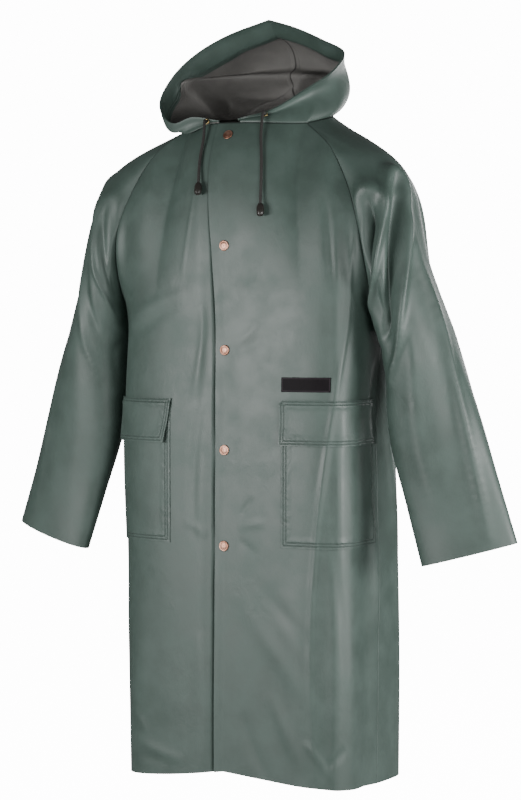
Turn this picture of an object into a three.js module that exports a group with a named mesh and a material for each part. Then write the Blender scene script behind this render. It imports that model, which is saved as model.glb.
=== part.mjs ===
// Hooded raincoat, long and straight, filled out as worn with nobody inside.
// Millimetres. +Z up, the front faces -Y, the wearer's left is +X.
// The origin is the middle of the neck, where the coat rests on its wearer.
import * as THREE from 'three';
import { mergeVertices } from 'three/addons/utils/BufferGeometryUtils.js';

// ---- cloth and seams ----
const CLOTH = 1.4;            // coated knit, one layer
const SEAM_INSET = 0.18;      // each piece stops this far from the seam line
const HOOD_INSET = 0.5;       // the hood stands a little higher over the neck seam
const LAYER_GAP = 0.5;        // between cloth pieces that lie on each other

// ---- main sizes ----
const UNDERARM_Z = -385;
const HALF_GIRTH = 690;       // centre front to centre back round one side
const HALF_GIRTH_SEAM = 0.5;  // the side seams lie half way from centre front to centre back
const OVERLAP = 20;           // over front reaches this far past the snap line
const UNDERLAP = 24;          // under front reaches this far past it the other way
const UNDERLAP_DROP = 3.4;    // how far the under front lies behind the over front

// ---- grids ----
const NECK_FRONT_SPANS = 6;
const RAGLAN_SPANS = 11;
const NECK_SIDE_SPANS = 4;
const NECK_BACK_SPANS = 6;
const BODY_ROWS = 14;
const CHEST_ROWS = 8;
const SLEEVE_ROWS = 22;
const HOOD_ROWS = 11;
const EDGE_ROWS = 2;          // rows of the hood that its turned-in edge covers

// Sections of the body, from the underarm to the hem. Corner numbers say how square
// a corner is: 2 is an ellipse, 8 is nearly a box.
const BODY = [
  { z: -385, width: 236, front: 146, back: 148, middle: -3, crisp: 5.5, round: 3.2 },
  { z: -540, width: 234, front: 147, back: 146, middle: -11, crisp: 6, round: 3.3 },
  { z: -720, width: 233, front: 148, back: 142, middle: -6, crisp: 6, round: 3.4 },
  { z: -950, width: 231, front: 150, back: 138, middle: 0, crisp: 6.5, round: 3.5 },
  { z: -1175, width: 228, front: 151, back: 136, middle: 2, crisp: 7, round: 3.5 },
];
// Height of the hem round the coat, by the share of the half girth from the front.
const HEM = [
  { share: 0, left: -1137, right: -1137 },
  { share: 0.17, left: -1147, right: -1152 },
  { share: 0.31, left: -1152, right: -1160 },
  { share: 0.5, left: -1160, right: -1165 },
  { share: 1, left: -1168, right: -1168 },
];
// The snap line down the front.
const SNAP_LINE = [
  { z: -1175, x: -3 },
  { z: -237, x: -2 },
  { z: -130, x: -8 },
  { z: -44, x: -20 },
  { z: -20, x: -23 },
];
// Top edge of a front, wearer's left: along the neck, then down the raglan seam.
// lean is how far back the cloth tips as it comes to the edge.
const NECK_FRONT = [
  { x: -23, y: -88, z: -21 },
  { x: 20, y: -89, z: -22 },
  { x: 62, y: -82, z: -24 },
  { x: 95, y: -70, z: -25 },
  { x: 114, y: -56, z: -24 },
];
const NECK_FRONT_RIGHT = [
  { x: -23, y: -88, z: -21 },
  { x: -48, y: -88, z: -21 },
  { x: -78, y: -81, z: -23 },
  { x: -100, y: -70, z: -25 },
  { x: -114, y: -56, z: -24 },
];
const NECK_SIDE = [
  { x: 114, y: -56, z: -24 },
  { x: 126, y: 0, z: -12 },
  { x: 112, y: 54, z: -4 },
];
const NECK_BACK = [
  { x: 112, y: 54, z: -4 },
  { x: 88, y: 76, z: -2 },
  { x: 46, y: 89, z: 0 },
  { x: 0, y: 93, z: 0 },
];
const RAGLAN_FRONT = [
  { x: 114, y: -56, z: -24 },
  { x: 168, y: -80, z: -66 },
  { x: 211, y: -97, z: -138 },
  { x: 236, y: -108, z: -214 },
  { x: 246, y: -66, z: -320 },
  { x: 240, y: 0, z: -385 },
];
const RAGLAN_BACK = [
  { x: 112, y: 54, z: -4 },
  { x: 162, y: 84, z: -52 },
  { x: 208, y: 108, z: -130 },
  { x: 236, y: 114, z: -214 },
  { x: 246, y: 68, z: -320 },
  { x: 240, y: 0, z: -385 },
];
// Sleeve rings from the shoulder to the cuff, wearer's left. across runs from the
// underarm side to the outer side, tilt lifts the outer side, turn sends it back.
const SLEEVE = [
  { x: 264, y: -26, z: -248, across: 142, deep: 98, tilt: 83, turn: 0 },
  { x: 288, y: -30, z: -336, across: 75, deep: 86, tilt: 58, turn: 2 },
  { x: 315, y: -30, z: -430, across: 66, deep: 70, tilt: 26, turn: 5 },
  { x: 343, y: -34, z: -545, across: 80, deep: 50, tilt: 16, turn: 9 },
  { x: 376, y: -36, z: -655, across: 82, deep: 36, tilt: 15, turn: 11 },
  { x: 408, y: -40, z: -757, across: 84, deep: 27, tilt: 15, turn: 12 },
];
// Edge of the hood round the face, from the front of the neck to the peak.
const RIM_LEFT = [
  { x: -4, y: -87, z: -10 },
  { x: 56, y: -76, z: 10 },
  { x: 112, y: -44, z: 43 },
  { x: 139, y: -8, z: 70 },
  { x: 143, y: 33, z: 106 },
  { x: 102, y: 33, z: 130 },
  { x: 50, y: 28, z: 154 },
  { x: 0, y: 23, z: 170 },
];
const RIM_RIGHT = [
  { x: -42, y: -87, z: -9 },
  { x: -94, y: -89, z: -6 },
  { x: -134, y: -84, z: -18 },
  { x: -163, y: -74, z: -2 },
  { x: -176, y: -60, z: 26 },
  { x: -160, y: -42, z: 70 },
  { x: -126, y: -20, z: 110 },
  { x: -74, y: 2, z: 143 },
  { x: 0, y: 23, z: 170 },
];
const FACING_WIDTH = 35;
// The way the hood leaves the rim (out, back, up) and comes to the neck (in, forward, down),
// at shares of the rim from the front of the neck to the peak.
const HOOD_LEFT = [
  { along: 0, out: 6, back: 6, up: 10, in: 0, forward: 0, down: 20 },
  { along: 0.25, out: 30, back: 70, up: -10, in: 20, forward: 20, down: 70 },
  { along: 0.55, out: -130, back: 250, up: 6, in: 110, forward: 160, down: 100 },
  { along: 0.8, out: -70, back: 370, up: 30, in: 60, forward: 190, down: 190 },
  { along: 1, out: 0, back: 400, up: 30, in: 0, forward: 200, down: 230 },
];
const HOOD_RIGHT = [
  { along: 0, out: 6, back: 4, up: -6, in: 0, forward: 0, down: 20 },
  { along: 0.14, out: 16, back: 14, up: -30, in: 40, forward: 0, down: 36 },
  { along: 0.3, out: 10, back: 60, up: -110, in: 120, forward: 0, down: 80 },
  { along: 0.55, out: -60, back: 210, up: -60, in: 120, forward: 120, down: 110 },
  { along: 0.8, out: -50, back: 350, up: 10, in: 70, forward: 190, down: 180 },
  { along: 1, out: 0, back: 400, up: 30, in: 0, forward: 200, down: 230 },
];

// ---- trims ----
const SNAP_CAP = 16;
const SNAP_CAP_HIGH = 2.4;
const SNAP_LIFT = 0.5;        // clears the cloth where it curves under the cap
const SNAP_Z = [-44, -237, -416, -587, -751];
const POCKET = { from: 112, to: 334, top: -512, bottom: -750 };
const FLAP = { from: 109, to: 337, top: -500, bottom: -577 };
const LABEL = { from: 112, to: 202, top: -461, bottom: -486 };
const LABEL_THICK = 1;
const SEAT_GAP = 0.3;         // between a hard part and what it sits on
const EYELET = {
  outer: 11,
  inner: 5,
  high: 1.6,
  lift: 1,
  left: { row: 2.5, column: 2.2 },
  right: { row: 1.4, column: 1.5 },
};
const CORD_WIDE = 5;
// How a free end of the cord hangs: x and height on the front, and how far its middle
// stands off the cloth.
const CORD_LEFT = [
  { x: 46, z: -42, off: 7 },
  { x: 51, z: -100, off: 5 },
  { x: 57, z: -160, off: 9 },
];
const CORD_RIGHT = [
  { x: -68, z: -50, off: 7 },
  { x: -67, z: -90, off: 5 },
  { x: -65, z: -120, off: 9 },
];
const CORD_END = { wide: 13, high: 22 };

const green = { color: 0x5f706a, roughness: 0.42, metalness: 0 };
const grey_knit = { color: 0x6d6c69, roughness: 0.9, metalness: 0 };
const copper = { color: 0x9a6f5a, roughness: 0.35, metalness: 1 };
const brass = { color: 0x8d7a55, roughness: 0.35, metalness: 1 };
const black_cord = { color: 0x1d1b1b, roughness: 0.85, metalness: 0 };
const black_plastic = { color: 0x1a1615, roughness: 0.4, metalness: 0 };
const dark_print = { color: 0x23202a, roughness: 0.5, metalness: 0 };

const V = (x, y, z) => new THREE.Vector3(x, y, z);
const mix = (a, b, t) => a + (b - a) * t;
const smooth = (t) => {
  const c = Math.min(1, Math.max(0, t));
  return c * c * (3 - 2 * c);
};

// One column of a table read at a position, smoothly between its rows.
function read(rows, by, want, at) {
  const up = rows[rows.length - 1][by] > rows[0][by];
  const list = up ? rows : [...rows].reverse();
  let i = 0;
  while (i < list.length - 2 && at > list[i + 1][by]) i += 1;
  const p = list[i];
  const q = list[i + 1];
  const span = q[by] - p[by];
  const t = Math.min(1, Math.max(0, (at - p[by]) / span));
  const before = list[i - 1] ?? p;
  const after = list[i + 2] ?? q;
  const m0 = ((q[want] - before[want]) / (q[by] - before[by])) * span;
  const m1 = ((after[want] - p[want]) / (after[by] - p[by])) * span;
  const t2 = t * t;
  const t3 = t2 * t;
  return (2 * t3 - 3 * t2 + 1) * p[want] + (t3 - 2 * t2 + t) * m0
    + (-2 * t3 + 3 * t2) * q[want] + (t3 - t2) * m1;
}

// A smooth curve through the rows of a table, cut into equal spans.
function spans(rows, count, side = 1) {
  const curve = new THREE.CatmullRomCurve3(rows.map((r) => V(r.x * side, r.y, r.z)), false, 'centripetal');
  curve.arcLengthDivisions = 400;
  return Array.from({ length: count + 1 }, (_, i) => curve.getPointAt(i / count));
}

// Ring round the body at one height: points by their share of the half girth,
// from the snap line (0) to the middle of the back (1), one list for each side.
const ringCache = new Map();
function ring(z) {
  const key = z.toFixed(2);
  if (ringCache.has(key)) return ringCache.get(key);
  const width = read(BODY, 'z', 'width', z);
  const front = read(BODY, 'z', 'front', z);
  const back = read(BODY, 'z', 'back', z);
  const middle = read(BODY, 'z', 'middle', z);
  const crisp = read(BODY, 'z', 'crisp', z);
  const round = read(BODY, 'z', 'round', z);
  const snapX = read(SNAP_LINE, 'z', 'x', z);
  const made = {};
  for (const side of [1, -1]) {
    const steps = 120;
    const pts = [];
    for (let i = 0; i <= steps; i += 1) {
      const a = (Math.PI * i) / steps;
      const inFront = i < steps / 2;
      const power = 2 / (inFront ? (side > 0 ? crisp : round) : round);
      const x = middle + side * width * Math.pow(Math.abs(Math.sin(a)), power);
      const y = (inFront ? -front : back) * Math.pow(Math.abs(Math.cos(a)), power);
      pts.push([x, y]);
    }
    const start = pts.findIndex((p) => side * (p[0] - snapX) > 0);
    const kept = [[snapX, -front], ...pts.slice(start)];
    const sum = [0];
    for (let i = 1; i < kept.length; i += 1) {
      sum.push(sum[i - 1] + Math.hypot(kept[i][0] - kept[i - 1][0], kept[i][1] - kept[i - 1][1]));
    }
    made[side] = { kept, sum, half: sum[sum.length - 1] };
  }
  ringCache.set(key, made);
  return made;
}

// Point of the body at a height and a signed share of the half girth (left is plus).
function onRing(z, share) {
  const r = ring(z);
  const wraps = Math.abs(share) > 1;
  const side = (share < 0) !== wraps ? -1 : 1;
  const { kept, sum, half } = r[side];
  const want = (wraps ? 2 - Math.abs(share) : Math.abs(share)) * half;
  let i = 0;
  while (i < sum.length - 2 && sum[i + 1] < want) i += 1;
  const t = (want - sum[i]) / (sum[i + 1] - sum[i]);
  return V(mix(kept[i][0], kept[i + 1][0], t), mix(kept[i][1], kept[i + 1][1], t), z);
}

const shareOf = (mm) => mm / HALF_GIRTH;
const hemZ = (share) => {
  const s = Math.abs(share) > 1 ? 2 - Math.abs(share) : Math.abs(share);
  const left = (share >= 0) === (Math.abs(share) <= 1);
  return read(HEM, 'share', left ? 'left' : 'right', s);
};

// Long soft folds pressed into the body: place round the coat, top and bottom of the
// fold, its half width and how far it pushes the cloth out (plus) or in (minus).
const BODY_FOLDS = [
  { share: 0.31, drift: 0, top: -190, bottom: -1160, half: 16, push: 7 },
  { share: 0.42, drift: 0.02, top: -420, bottom: -1175, half: 34, push: -7 },
  { share: 0.2, drift: 0.03, top: -770, bottom: -1160, half: 40, push: 4 },
  { share: -0.3, drift: 0.01, top: -780, bottom: -1160, half: 40, push: 5 },
  { share: -0.44, drift: -0.02, top: -420, bottom: -1175, half: 36, push: -7 },
  { share: 0.66, drift: 0.02, top: -300, bottom: -1175, half: 44, push: 9 },
  { share: 0.83, drift: 0.01, top: -480, bottom: -1175, half: 40, push: -7 },
  { share: -0.68, drift: -0.03, top: -330, bottom: -1175, half: 44, push: 8 },
  { share: -0.86, drift: 0, top: -430, bottom: -1175, half: 42, push: -6 },
];
function bodyPush(z, share) {
  let push = 0;
  for (const f of BODY_FOLDS) {
    const down = (f.top - z) / (f.top - f.bottom);
    if (down <= 0) continue;
    const off = ((share - f.share - f.drift * down) * HALF_GIRTH) / f.half;
    push += f.push * Math.exp(-off * off) * smooth(down * 3);
  }
  return push;
}

// Body surface: straight down from the underarm ring, and above it a smooth run from
// the ring up to the neck or the raglan seam. row 0 is the hem, 1 the top edge.
const LOWER_PART = BODY_ROWS / (BODY_ROWS + CHEST_ROWS);
function bodyPoint(share, top, row) {
  if (row <= LOWER_PART) {
    const z = mix(hemZ(share), UNDERARM_Z, row / LOWER_PART);
    const p = onRing(z, share);
    const q = onRing(z, share + 0.004);
    const out = V(q.y - p.y, p.x - q.x, 0).normalize();
    return p.addScaledVector(out, bodyPush(z, share));
  }
  const t = (row - LOWER_PART) / (1 - LOWER_PART);
  const low = onRing(UNDERARM_Z, share);
  const q = onRing(UNDERARM_Z, share + 0.004);
  const out = V(q.y - low.y, low.x - q.x, 0).normalize();
  const start = low.clone().addScaledVector(out, bodyPush(UNDERARM_Z, share));
  const reach = start.distanceTo(top);
  const up = V(0, 0, reach);
  const inward = -Math.sign(top.y) * smooth((top.z + 330) / 300);
  const arrive = V(0, inward * 0.62, 0.85).multiplyScalar(reach);
  const t2 = t * t;
  const t3 = t2 * t;
  return V(0, 0, 0)
    .addScaledVector(start, 2 * t3 - 3 * t2 + 1)
    .addScaledVector(up, t3 - 2 * t2 + t)
    .addScaledVector(top, -2 * t3 + 3 * t2)
    .addScaledVector(arrive, t3 - t2);
}

// Direction that cloth faces on a seam, the same for every piece that meets there.
function seamFacing(p) {
  const side = Math.sign(p.x) || 1;
  const arm = V(p.x - side * 195, p.y, p.z + 190).normalize().add(V(side * 0.35, 0, 0)).normalize();
  const neck = V(p.x / 128, p.y / 92, 0.45).normalize();
  return arm.lerp(neck, smooth((p.z + 75) / 50)).normalize();
}

// Builds one closed sheet of cloth from a grid of outer points and facings.
function cloth(grid, facings, thickness, closed = false) {
  const rows = grid.length;
  const cols = grid[0].length;
  const points = [];
  const index = (layer, i, j) => layer * rows * cols + i * cols + (j % cols);
  for (const layer of [0, 1]) {
    for (let i = 0; i < rows; i += 1) {
      for (let j = 0; j < cols; j += 1) {
        points.push(grid[i][j].clone().addScaledVector(facings[i][j], -layer * thickness));
      }
    }
  }
  const faces = [];
  const quad = (a, b, c, d) => faces.push(a, b, c, a, c, d);
  const spansAcross = closed ? cols : cols - 1;
  for (let i = 0; i < rows - 1; i += 1) {
    for (let j = 0; j < spansAcross; j += 1) {
      quad(index(0, i, j), index(0, i, j + 1), index(0, i + 1, j + 1), index(0, i + 1, j));
      quad(index(1, i, j), index(1, i + 1, j), index(1, i + 1, j + 1), index(1, i, j + 1));
    }
  }
  for (let j = 0; j < spansAcross; j += 1) {
    quad(index(0, 0, j), index(1, 0, j), index(1, 0, j + 1), index(0, 0, j + 1));
    const end = rows - 1;
    quad(index(0, end, j), index(0, end, j + 1), index(1, end, j + 1), index(1, end, j));
  }
  if (!closed) {
    for (let i = 0; i < rows - 1; i += 1) {
      const far = cols - 1;
      quad(index(0, i, 0), index(0, i + 1, 0), index(1, i + 1, 0), index(1, i, 0));
      quad(index(0, i, far), index(1, i, far), index(1, i + 1, far), index(0, i + 1, far));
    }
  }
  const geometry = new THREE.BufferGeometry();
  const numbers = points.flatMap((p) => [p.x, p.y, p.z]);
  geometry.setAttribute('position', new THREE.Float32BufferAttribute(numbers, 3));
  geometry.setIndex(faces);
  return facingOut(geometry);
}

// Turns every face round where the solid would be inside out.
function facingOut(geometry) {
  const p = geometry.getAttribute('position');
  const list = geometry.index.array;
  let volume = 0;
  const a = V(0, 0, 0);
  const b = V(0, 0, 0);
  const c = V(0, 0, 0);
  for (let i = 0; i < list.length; i += 3) {
    a.fromBufferAttribute(p, list[i]);
    b.fromBufferAttribute(p, list[i + 1]);
    c.fromBufferAttribute(p, list[i + 2]);
    volume += a.dot(b.cross(c));
  }
  if (volume < 0) {
    const turned = [];
    for (let i = 0; i < list.length; i += 3) turned.push(list[i], list[i + 2], list[i + 1]);
    geometry.setIndex(turned);
  }
  geometry.computeVertexNormals();
  return geometry;
}

// Outward facing at each grid point, from its neighbours; outside says which way is out.
function facingsOf(grid, closed, outside) {
  const rows = grid.length;
  const cols = grid[0].length;
  return grid.map((line, i) => line.map((p, j) => {
    const before = closed ? line[(j + cols - 1) % cols] : line[Math.max(0, j - 1)];
    const after = closed ? line[(j + 1) % cols] : line[Math.min(cols - 1, j + 1)];
    const low = grid[Math.max(0, i - 1)][j];
    const high = grid[Math.min(rows - 1, i + 1)][j];
    const n = after.clone().sub(before).cross(high.clone().sub(low)).normalize();
    return n.dot(outside(p)) < 0 ? n.negate() : n;
  }));
}

// Moves a seam edge of a grid back into its own piece by the seam inset.
function insetPoint(edge, before, after, inside, facing, by = SEAM_INSET) {
  const along = after.clone().sub(before).normalize();
  const across = facing.clone().cross(along).normalize();
  if (across.dot(inside.clone().sub(edge)) < 0) across.negate();
  return edge.clone().addScaledVector(across, by);
}
function insetRow(grid, facings, row, inner, closed = false, by = SEAM_INSET) {
  const line = grid[row];
  const cols = line.length;
  const moved = line.map((p, j) => {
    const before = line[closed ? (j + cols - 1) % cols : Math.max(0, j - 1)];
    const after = line[closed ? (j + 1) % cols : Math.min(cols - 1, j + 1)];
    return insetPoint(p, before, after, grid[inner][j], facings[row][j], by);
  });
  grid[row] = moved;
}
function insetColumn(grid, facings, col, inner) {
  const moved = grid.map((line, i) => insetPoint(
    line[col],
    grid[Math.max(0, i - 1)][col],
    grid[Math.min(grid.length - 1, i + 1)][col],
    line[inner],
    facings[i][col],
  ));
  grid.forEach((line, i) => { line[col] = moved[i]; });
}

const fromAxis = (p) => V(p.x, p.y, 0.001);

// ---- body panels ----
function topEdge(neckRows, raglanRows, side, neckSpans) {
  const neck = spans(neckRows, neckSpans);
  const seam = spans(raglanRows, RAGLAN_SPANS, side).slice(0, -1);
  return [...neck, ...seam.slice(1)];
}

// Shares of the half girth below each point of a top edge.
function sharesBelow(edge, neckCount, first, raglanShare, last) {
  const seamLast = edge.length - 1;
  return edge.map((_, i) => {
    if (i <= neckCount) return mix(first, raglanShare, i / neckCount);
    const t = (i - neckCount) / (seamLast - neckCount);
    return mix(raglanShare, last, Math.pow(t, 0.86));
  });
}

function panelGrid(columns) {
  const total = BODY_ROWS + CHEST_ROWS;
  const grid = [];
  for (let i = 0; i <= total; i += 1) {
    grid.push(columns.map((c) => {
      const p = bodyPoint(c.share, c.top, i / total);
      return c.move ? c.move(p, c) : p;
    }));
  }
  return grid;
}

function finishPanel({ columns, grid, seams }) {
  const facings = facingsOf(grid, false, fromAxis);
  const last = grid.length - 1;
  facings[last] = grid[last].map((p) => seamFacing(p));
  insetRow(grid, facings, last, last - 1);
  for (const [col, inner] of seams) insetColumn(grid, facings, col, inner);
  return { columns, grid, facings, solid: cloth(grid, facings, CLOTH) };
}

// ---- pieces that lie on a panel ----
// Where a share of the half girth falls among the panel's columns.
function columnAt(panel, share) {
  const list = panel.columns.map((c) => c.share);
  const up = list[list.length - 1] > list[0];
  let j = 0;
  while (j < list.length - 2 && (up ? share > list[j + 1] : share < list[j + 1])) j += 1;
  return j + (share - list[j]) / (list[j + 1] - list[j]);
}
// Where a height falls among the rows below the underarm.
const rowAt = (share, z) => (BODY_ROWS * (z - hemZ(share))) / (UNDERARM_Z - hemZ(share));
function onPanel(panel, row, col) {
  const i = Math.min(panel.grid.length - 2, Math.floor(row));
  const j = Math.min(panel.grid[0].length - 2, Math.floor(col));
  const u = row - i;
  const v = col - j;
  const blend = (g) => g[i][j].clone().multiplyScalar((1 - u) * (1 - v))
    .addScaledVector(g[i][j + 1], (1 - u) * v)
    .addScaledVector(g[i + 1][j], u * (1 - v))
    .addScaledVector(g[i + 1][j + 1], u * v);
  return { point: blend(panel.grid), facing: blend(panel.facings).normalize() };
}
// Whole steps that lie between two places, with the two places themselves.
function stops(from, to) {
  const list = [from];
  for (let k = Math.ceil(from + 0.15); k < to - 0.15; k += 1) list.push(k);
  list.push(to);
  return list;
}
// A sheet laid on a panel. lift gives its height over the panel from top (0) to bottom (1).
function laidOn(panel, side, area, thickness, lift, extra = []) {
  const ends = [columnAt(panel, side * shareOf(area.from)), columnAt(panel, side * shareOf(area.to))];
  const cols = stops(Math.min(...ends), Math.max(...ends));
  const shares = panel.columns.map((c) => c.share);
  const next = (c) => Math.min(shares.length - 1, Math.floor(c) + 1);
  const shareAt = (c) => mix(shares[Math.floor(c)], shares[next(c)], c % 1);
  const lowRow = (c) => rowAt(shareAt(c), area.bottom);
  const topRow = (c) => rowAt(shareAt(c), area.top);
  const first = Math.ceil(Math.max(...cols.map(lowRow)) + 0.12);
  const last = Math.floor(Math.min(...cols.map(topRow)) - 0.12);
  const heights = [lowRow];
  for (let k = first; k <= last; k += 1) heights.push(() => k);
  for (const z of extra) heights.push((c) => rowAt(shareAt(c), z));
  heights.push(topRow);
  const facings = [];
  const grid = heights.map((rowOf) => {
    const line = [];
    facings.push(cols.map((c) => {
      const row = rowOf(c);
      const { point, facing } = onPanel(panel, row, c);
      const down = (area.top - mix(hemZ(shareAt(c)), UNDERARM_Z, row / BODY_ROWS)) / (area.top - area.bottom);
      line.push(point.addScaledVector(facing, lift(down) + thickness));
      return facing;
    }));
    return line;
  });
  return cloth(grid, facings, thickness);
}

function frontColumns(side) {
  const neckRows = side > 0 ? NECK_FRONT : NECK_FRONT_RIGHT;
  const edge = topEdge(neckRows, RAGLAN_FRONT, side, NECK_FRONT_SPANS);
  const raglanShare = shareOf(150);
  const shares = sharesBelow(edge, NECK_FRONT_SPANS, 0, raglanShare, 0.478);
  const columns = edge.map((top, i) => ({ top, share: side * shares[i] }));
  return columns;
}

function overFront() {
  const columns = frontColumns(1);
  columns.unshift({ top: V(-42, -87.5, -21), share: -shareOf(OVERLAP) });
  const seamTop = spans(RAGLAN_FRONT, RAGLAN_SPANS)[RAGLAN_SPANS];
  columns.push({ top: seamTop.clone().add(V(0, -2.5, -4)), share: HALF_GIRTH_SEAM });
  const grid = panelGrid(columns);
  return { columns, grid, seams: [[columns.length - 1, columns.length - 2]] };
}

function underFront() {
  const columns = frontColumns(-1);
  const drop = (p, c) => {
    const hidden = smooth((c.share * HALF_GIRTH + 60) / 28);
    return p.add(V(0, UNDERLAP_DROP * hidden, 0));
  };
  columns.splice(1, 0, { top: V(-34, -88, -21), share: -shareOf(12) });
  columns.splice(3, 0, { top: columns[2].top.clone().lerp(columns[3].top, 0.5), share: -shareOf(38) });
  columns.unshift({ top: V(2, -88.6, -22), share: shareOf(UNDERLAP) });
  for (const c of columns) c.move = drop;
  const seamTop = spans(RAGLAN_FRONT, RAGLAN_SPANS, -1)[RAGLAN_SPANS];
  columns.push({ top: seamTop.clone().add(V(0, -2.5, -4)), share: -HALF_GIRTH_SEAM });
  const grid = panelGrid(columns);
  return { columns, grid, seams: [[columns.length - 1, columns.length - 2]] };
}

function backPanel() {
  const half = (side) => {
    const neck = spans([...NECK_BACK].reverse(), NECK_BACK_SPANS, side);
    const seam = spans(RAGLAN_BACK, RAGLAN_SPANS, side).slice(0, -1);
    const edge = [...neck, ...seam.slice(1)];
    const shares = sharesBelow(edge, NECK_BACK_SPANS, 1, 1 - shareOf(150), 0.522);
    const list = edge.map((top, i) => ({ top, share: side * shares[i] }));
    const seamTop = spans(RAGLAN_BACK, RAGLAN_SPANS, side)[RAGLAN_SPANS];
    list.push({ top: seamTop.clone().add(V(0, 2.5, -4)), share: side * HALF_GIRTH_SEAM });
    return list;
  };
  const left = half(1);
  const right = half(-1);
  const columns = [...left.reverse(), ...right.slice(1)];
  const grid = panelGrid(columns);
  const last = columns.length - 1;
  return { columns, grid, seams: [[0, 1], [last, last - 1]] };
}

// ---- sleeves ----
function sleeveRing(row, side, count) {
  const rad = Math.PI / 180;
  const tilt = row.tilt * rad;
  const turn = row.turn * rad;
  const outer = V(Math.cos(tilt) * Math.cos(turn), Math.cos(tilt) * Math.sin(turn), Math.sin(tilt));
  const ahead = V(Math.sin(turn), -Math.cos(turn), 0);
  return Array.from({ length: count }, (_, j) => {
    const w = j / count;
    const a = 2 * Math.PI * w;
    const bulge = Math.pow(Math.abs(Math.sin(a)), 0.9) * Math.sign(Math.sin(a));
    const p = V(row.x, row.y, row.z)
      .addScaledVector(outer, -Math.cos(a) * row.across)
      .addScaledVector(ahead, bulge * row.deep);
    p.x *= side;
    return p;
  });
}

// Folds of a sleeve. around is the place on the ring (0 underarm, 0.25 front, 0.5 outer
// side, 0.75 back), turn how far it wanders round on its way down, half its half width
// as a share of the ring, push how far it lifts (plus) or sinks (minus), in millimetres.
const SLEEVE_FOLDS = [
  { around: 0.27, turn: 0.03, from: 0.1, to: 0.55, half: 0.04, push: 9 },
  { around: 0.35, turn: 0.0, from: 0.12, to: 0.5, half: 0.035, push: 6 },
  { around: 0.31, turn: 0.02, from: 0.12, to: 0.6, half: 0.035, push: -9 },
  { around: 0.19, turn: 0.0, from: 0.1, to: 0.5, half: 0.05, push: -13 },
  { around: 0.72, turn: -0.02, from: 0.12, to: 0.55, half: 0.04, push: 6 },
  { around: 0.8, turn: 0.0, from: 0.12, to: 0.5, half: 0.05, push: -10 },
  { around: 0.64, turn: -0.02, from: 0.14, to: 0.7, half: 0.04, push: -6 },
];
function sleevePush(w, down) {
  let push = 0;
  for (const f of SLEEVE_FOLDS) {
    const t = (down - f.from) / (f.to - f.from);
    if (t <= 0 || t >= 1) continue;
    const off = (w - f.around - f.turn * t) / f.half;
    push += f.push * Math.exp(-off * off) * Math.sin(Math.PI * t);
  }
  return push;
}

function seamRing(side) {
  const front = spans(RAGLAN_FRONT, RAGLAN_SPANS, side).reverse();
  const top = spans(NECK_SIDE, NECK_SIDE_SPANS, side);
  const back = spans(RAGLAN_BACK, RAGLAN_SPANS, side);
  return [...front, ...top.slice(1), ...back.slice(1, -1)];
}

function sleeve(side) {
  const first = seamRing(side);
  const count = first.length;
  const stations = [first, ...SLEEVE.map((row) => sleeveRing(row, side, count))];
  const lines = first.map((_, j) => {
    const curve = new THREE.CatmullRomCurve3(stations.map((s) => s[j]), false, 'centripetal');
    return curve;
  });
  const grid = [];
  for (let i = 0; i <= SLEEVE_ROWS; i += 1) grid.push(lines.map((c) => c.getPoint(i / SLEEVE_ROWS)));
  const axis = (p) => {
    const t = Math.min(1, Math.max(0, (-p.z - 250) / 510));
    return V(p.x - side * mix(262, 407, t), p.y - mix(-8, -31, t), p.z < -250 ? 0.001 : p.z + 250);
  };
  const plain = facingsOf(grid, true, axis);
  grid.forEach((line, i) => line.forEach((p, j) => {
    p.addScaledVector(plain[i][j], sleevePush(j / count, i / SLEEVE_ROWS));
  }));
  const facings = facingsOf(grid, true, axis);
  facings[0] = grid[0].map((p) => seamFacing(p));
  insetRow(grid, facings, 0, 1, true);
  return cloth(grid, facings, CLOTH, true);
}

// ---- hood ----
function hoodGrid(side) {
  const count = NECK_FRONT_SPANS + NECK_SIDE_SPANS + NECK_BACK_SPANS - 1;
  const rim = spans(side > 0 ? RIM_LEFT : RIM_RIGHT, count);
  const front = spans(side > 0 ? NECK_FRONT : NECK_FRONT_RIGHT, NECK_FRONT_SPANS);
  const neck = [
    ...front.slice(1),
    ...spans(NECK_SIDE, NECK_SIDE_SPANS, side).slice(1),
    ...spans(NECK_BACK, NECK_BACK_SPANS, side).slice(1),
  ];
  const table = side > 0 ? HOOD_LEFT : HOOD_RIGHT;
  const columns = rim.map((r, j) => {
    const along = j / (rim.length - 1);
    const way = (name) => read(table, 'along', name, along);
    const leave = V(side * way('out'), way('back'), way('up'));
    const arrive = V(-side * way('in'), -way('forward'), -way('down'));
    return runFrom(r, leave, neck[j], arrive);
  });
  return Array.from({ length: HOOD_ROWS + 1 }, (_, i) => columns.map((run) => run(i)));
}

// A curve from one point to another that leaves and arrives along given ways. Its first
// rows cover the turned-in edge of the hood and the others share out what is left.
function runFrom(start, leave, end, arrive) {
  const at = (t) => {
    const t2 = t * t;
    const t3 = t2 * t;
    return V(0, 0, 0)
      .addScaledVector(start, 2 * t3 - 3 * t2 + 1)
      .addScaledVector(leave, t3 - 2 * t2 + t)
      .addScaledVector(end, -2 * t3 + 3 * t2)
      .addScaledVector(arrive, t3 - t2);
  };
  const steps = 80;
  const lengths = [0];
  for (let k = 1; k <= steps; k += 1) {
    lengths.push(lengths[k - 1] + at(k / steps).distanceTo(at((k - 1) / steps)));
  }
  const total = lengths[steps];
  const edge = Math.min(FACING_WIDTH, total * 0.4);
  return (row) => {
    const want = row <= EDGE_ROWS
      ? (edge * row) / EDGE_ROWS
      : mix(edge, total, (row - EDGE_ROWS) / (HOOD_ROWS - EDGE_ROWS));
    let k = 0;
    while (k < steps - 1 && lengths[k + 1] < want) k += 1;
    return at((k + (want - lengths[k]) / (lengths[k + 1] - lengths[k])) / steps);
  };
}

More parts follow.
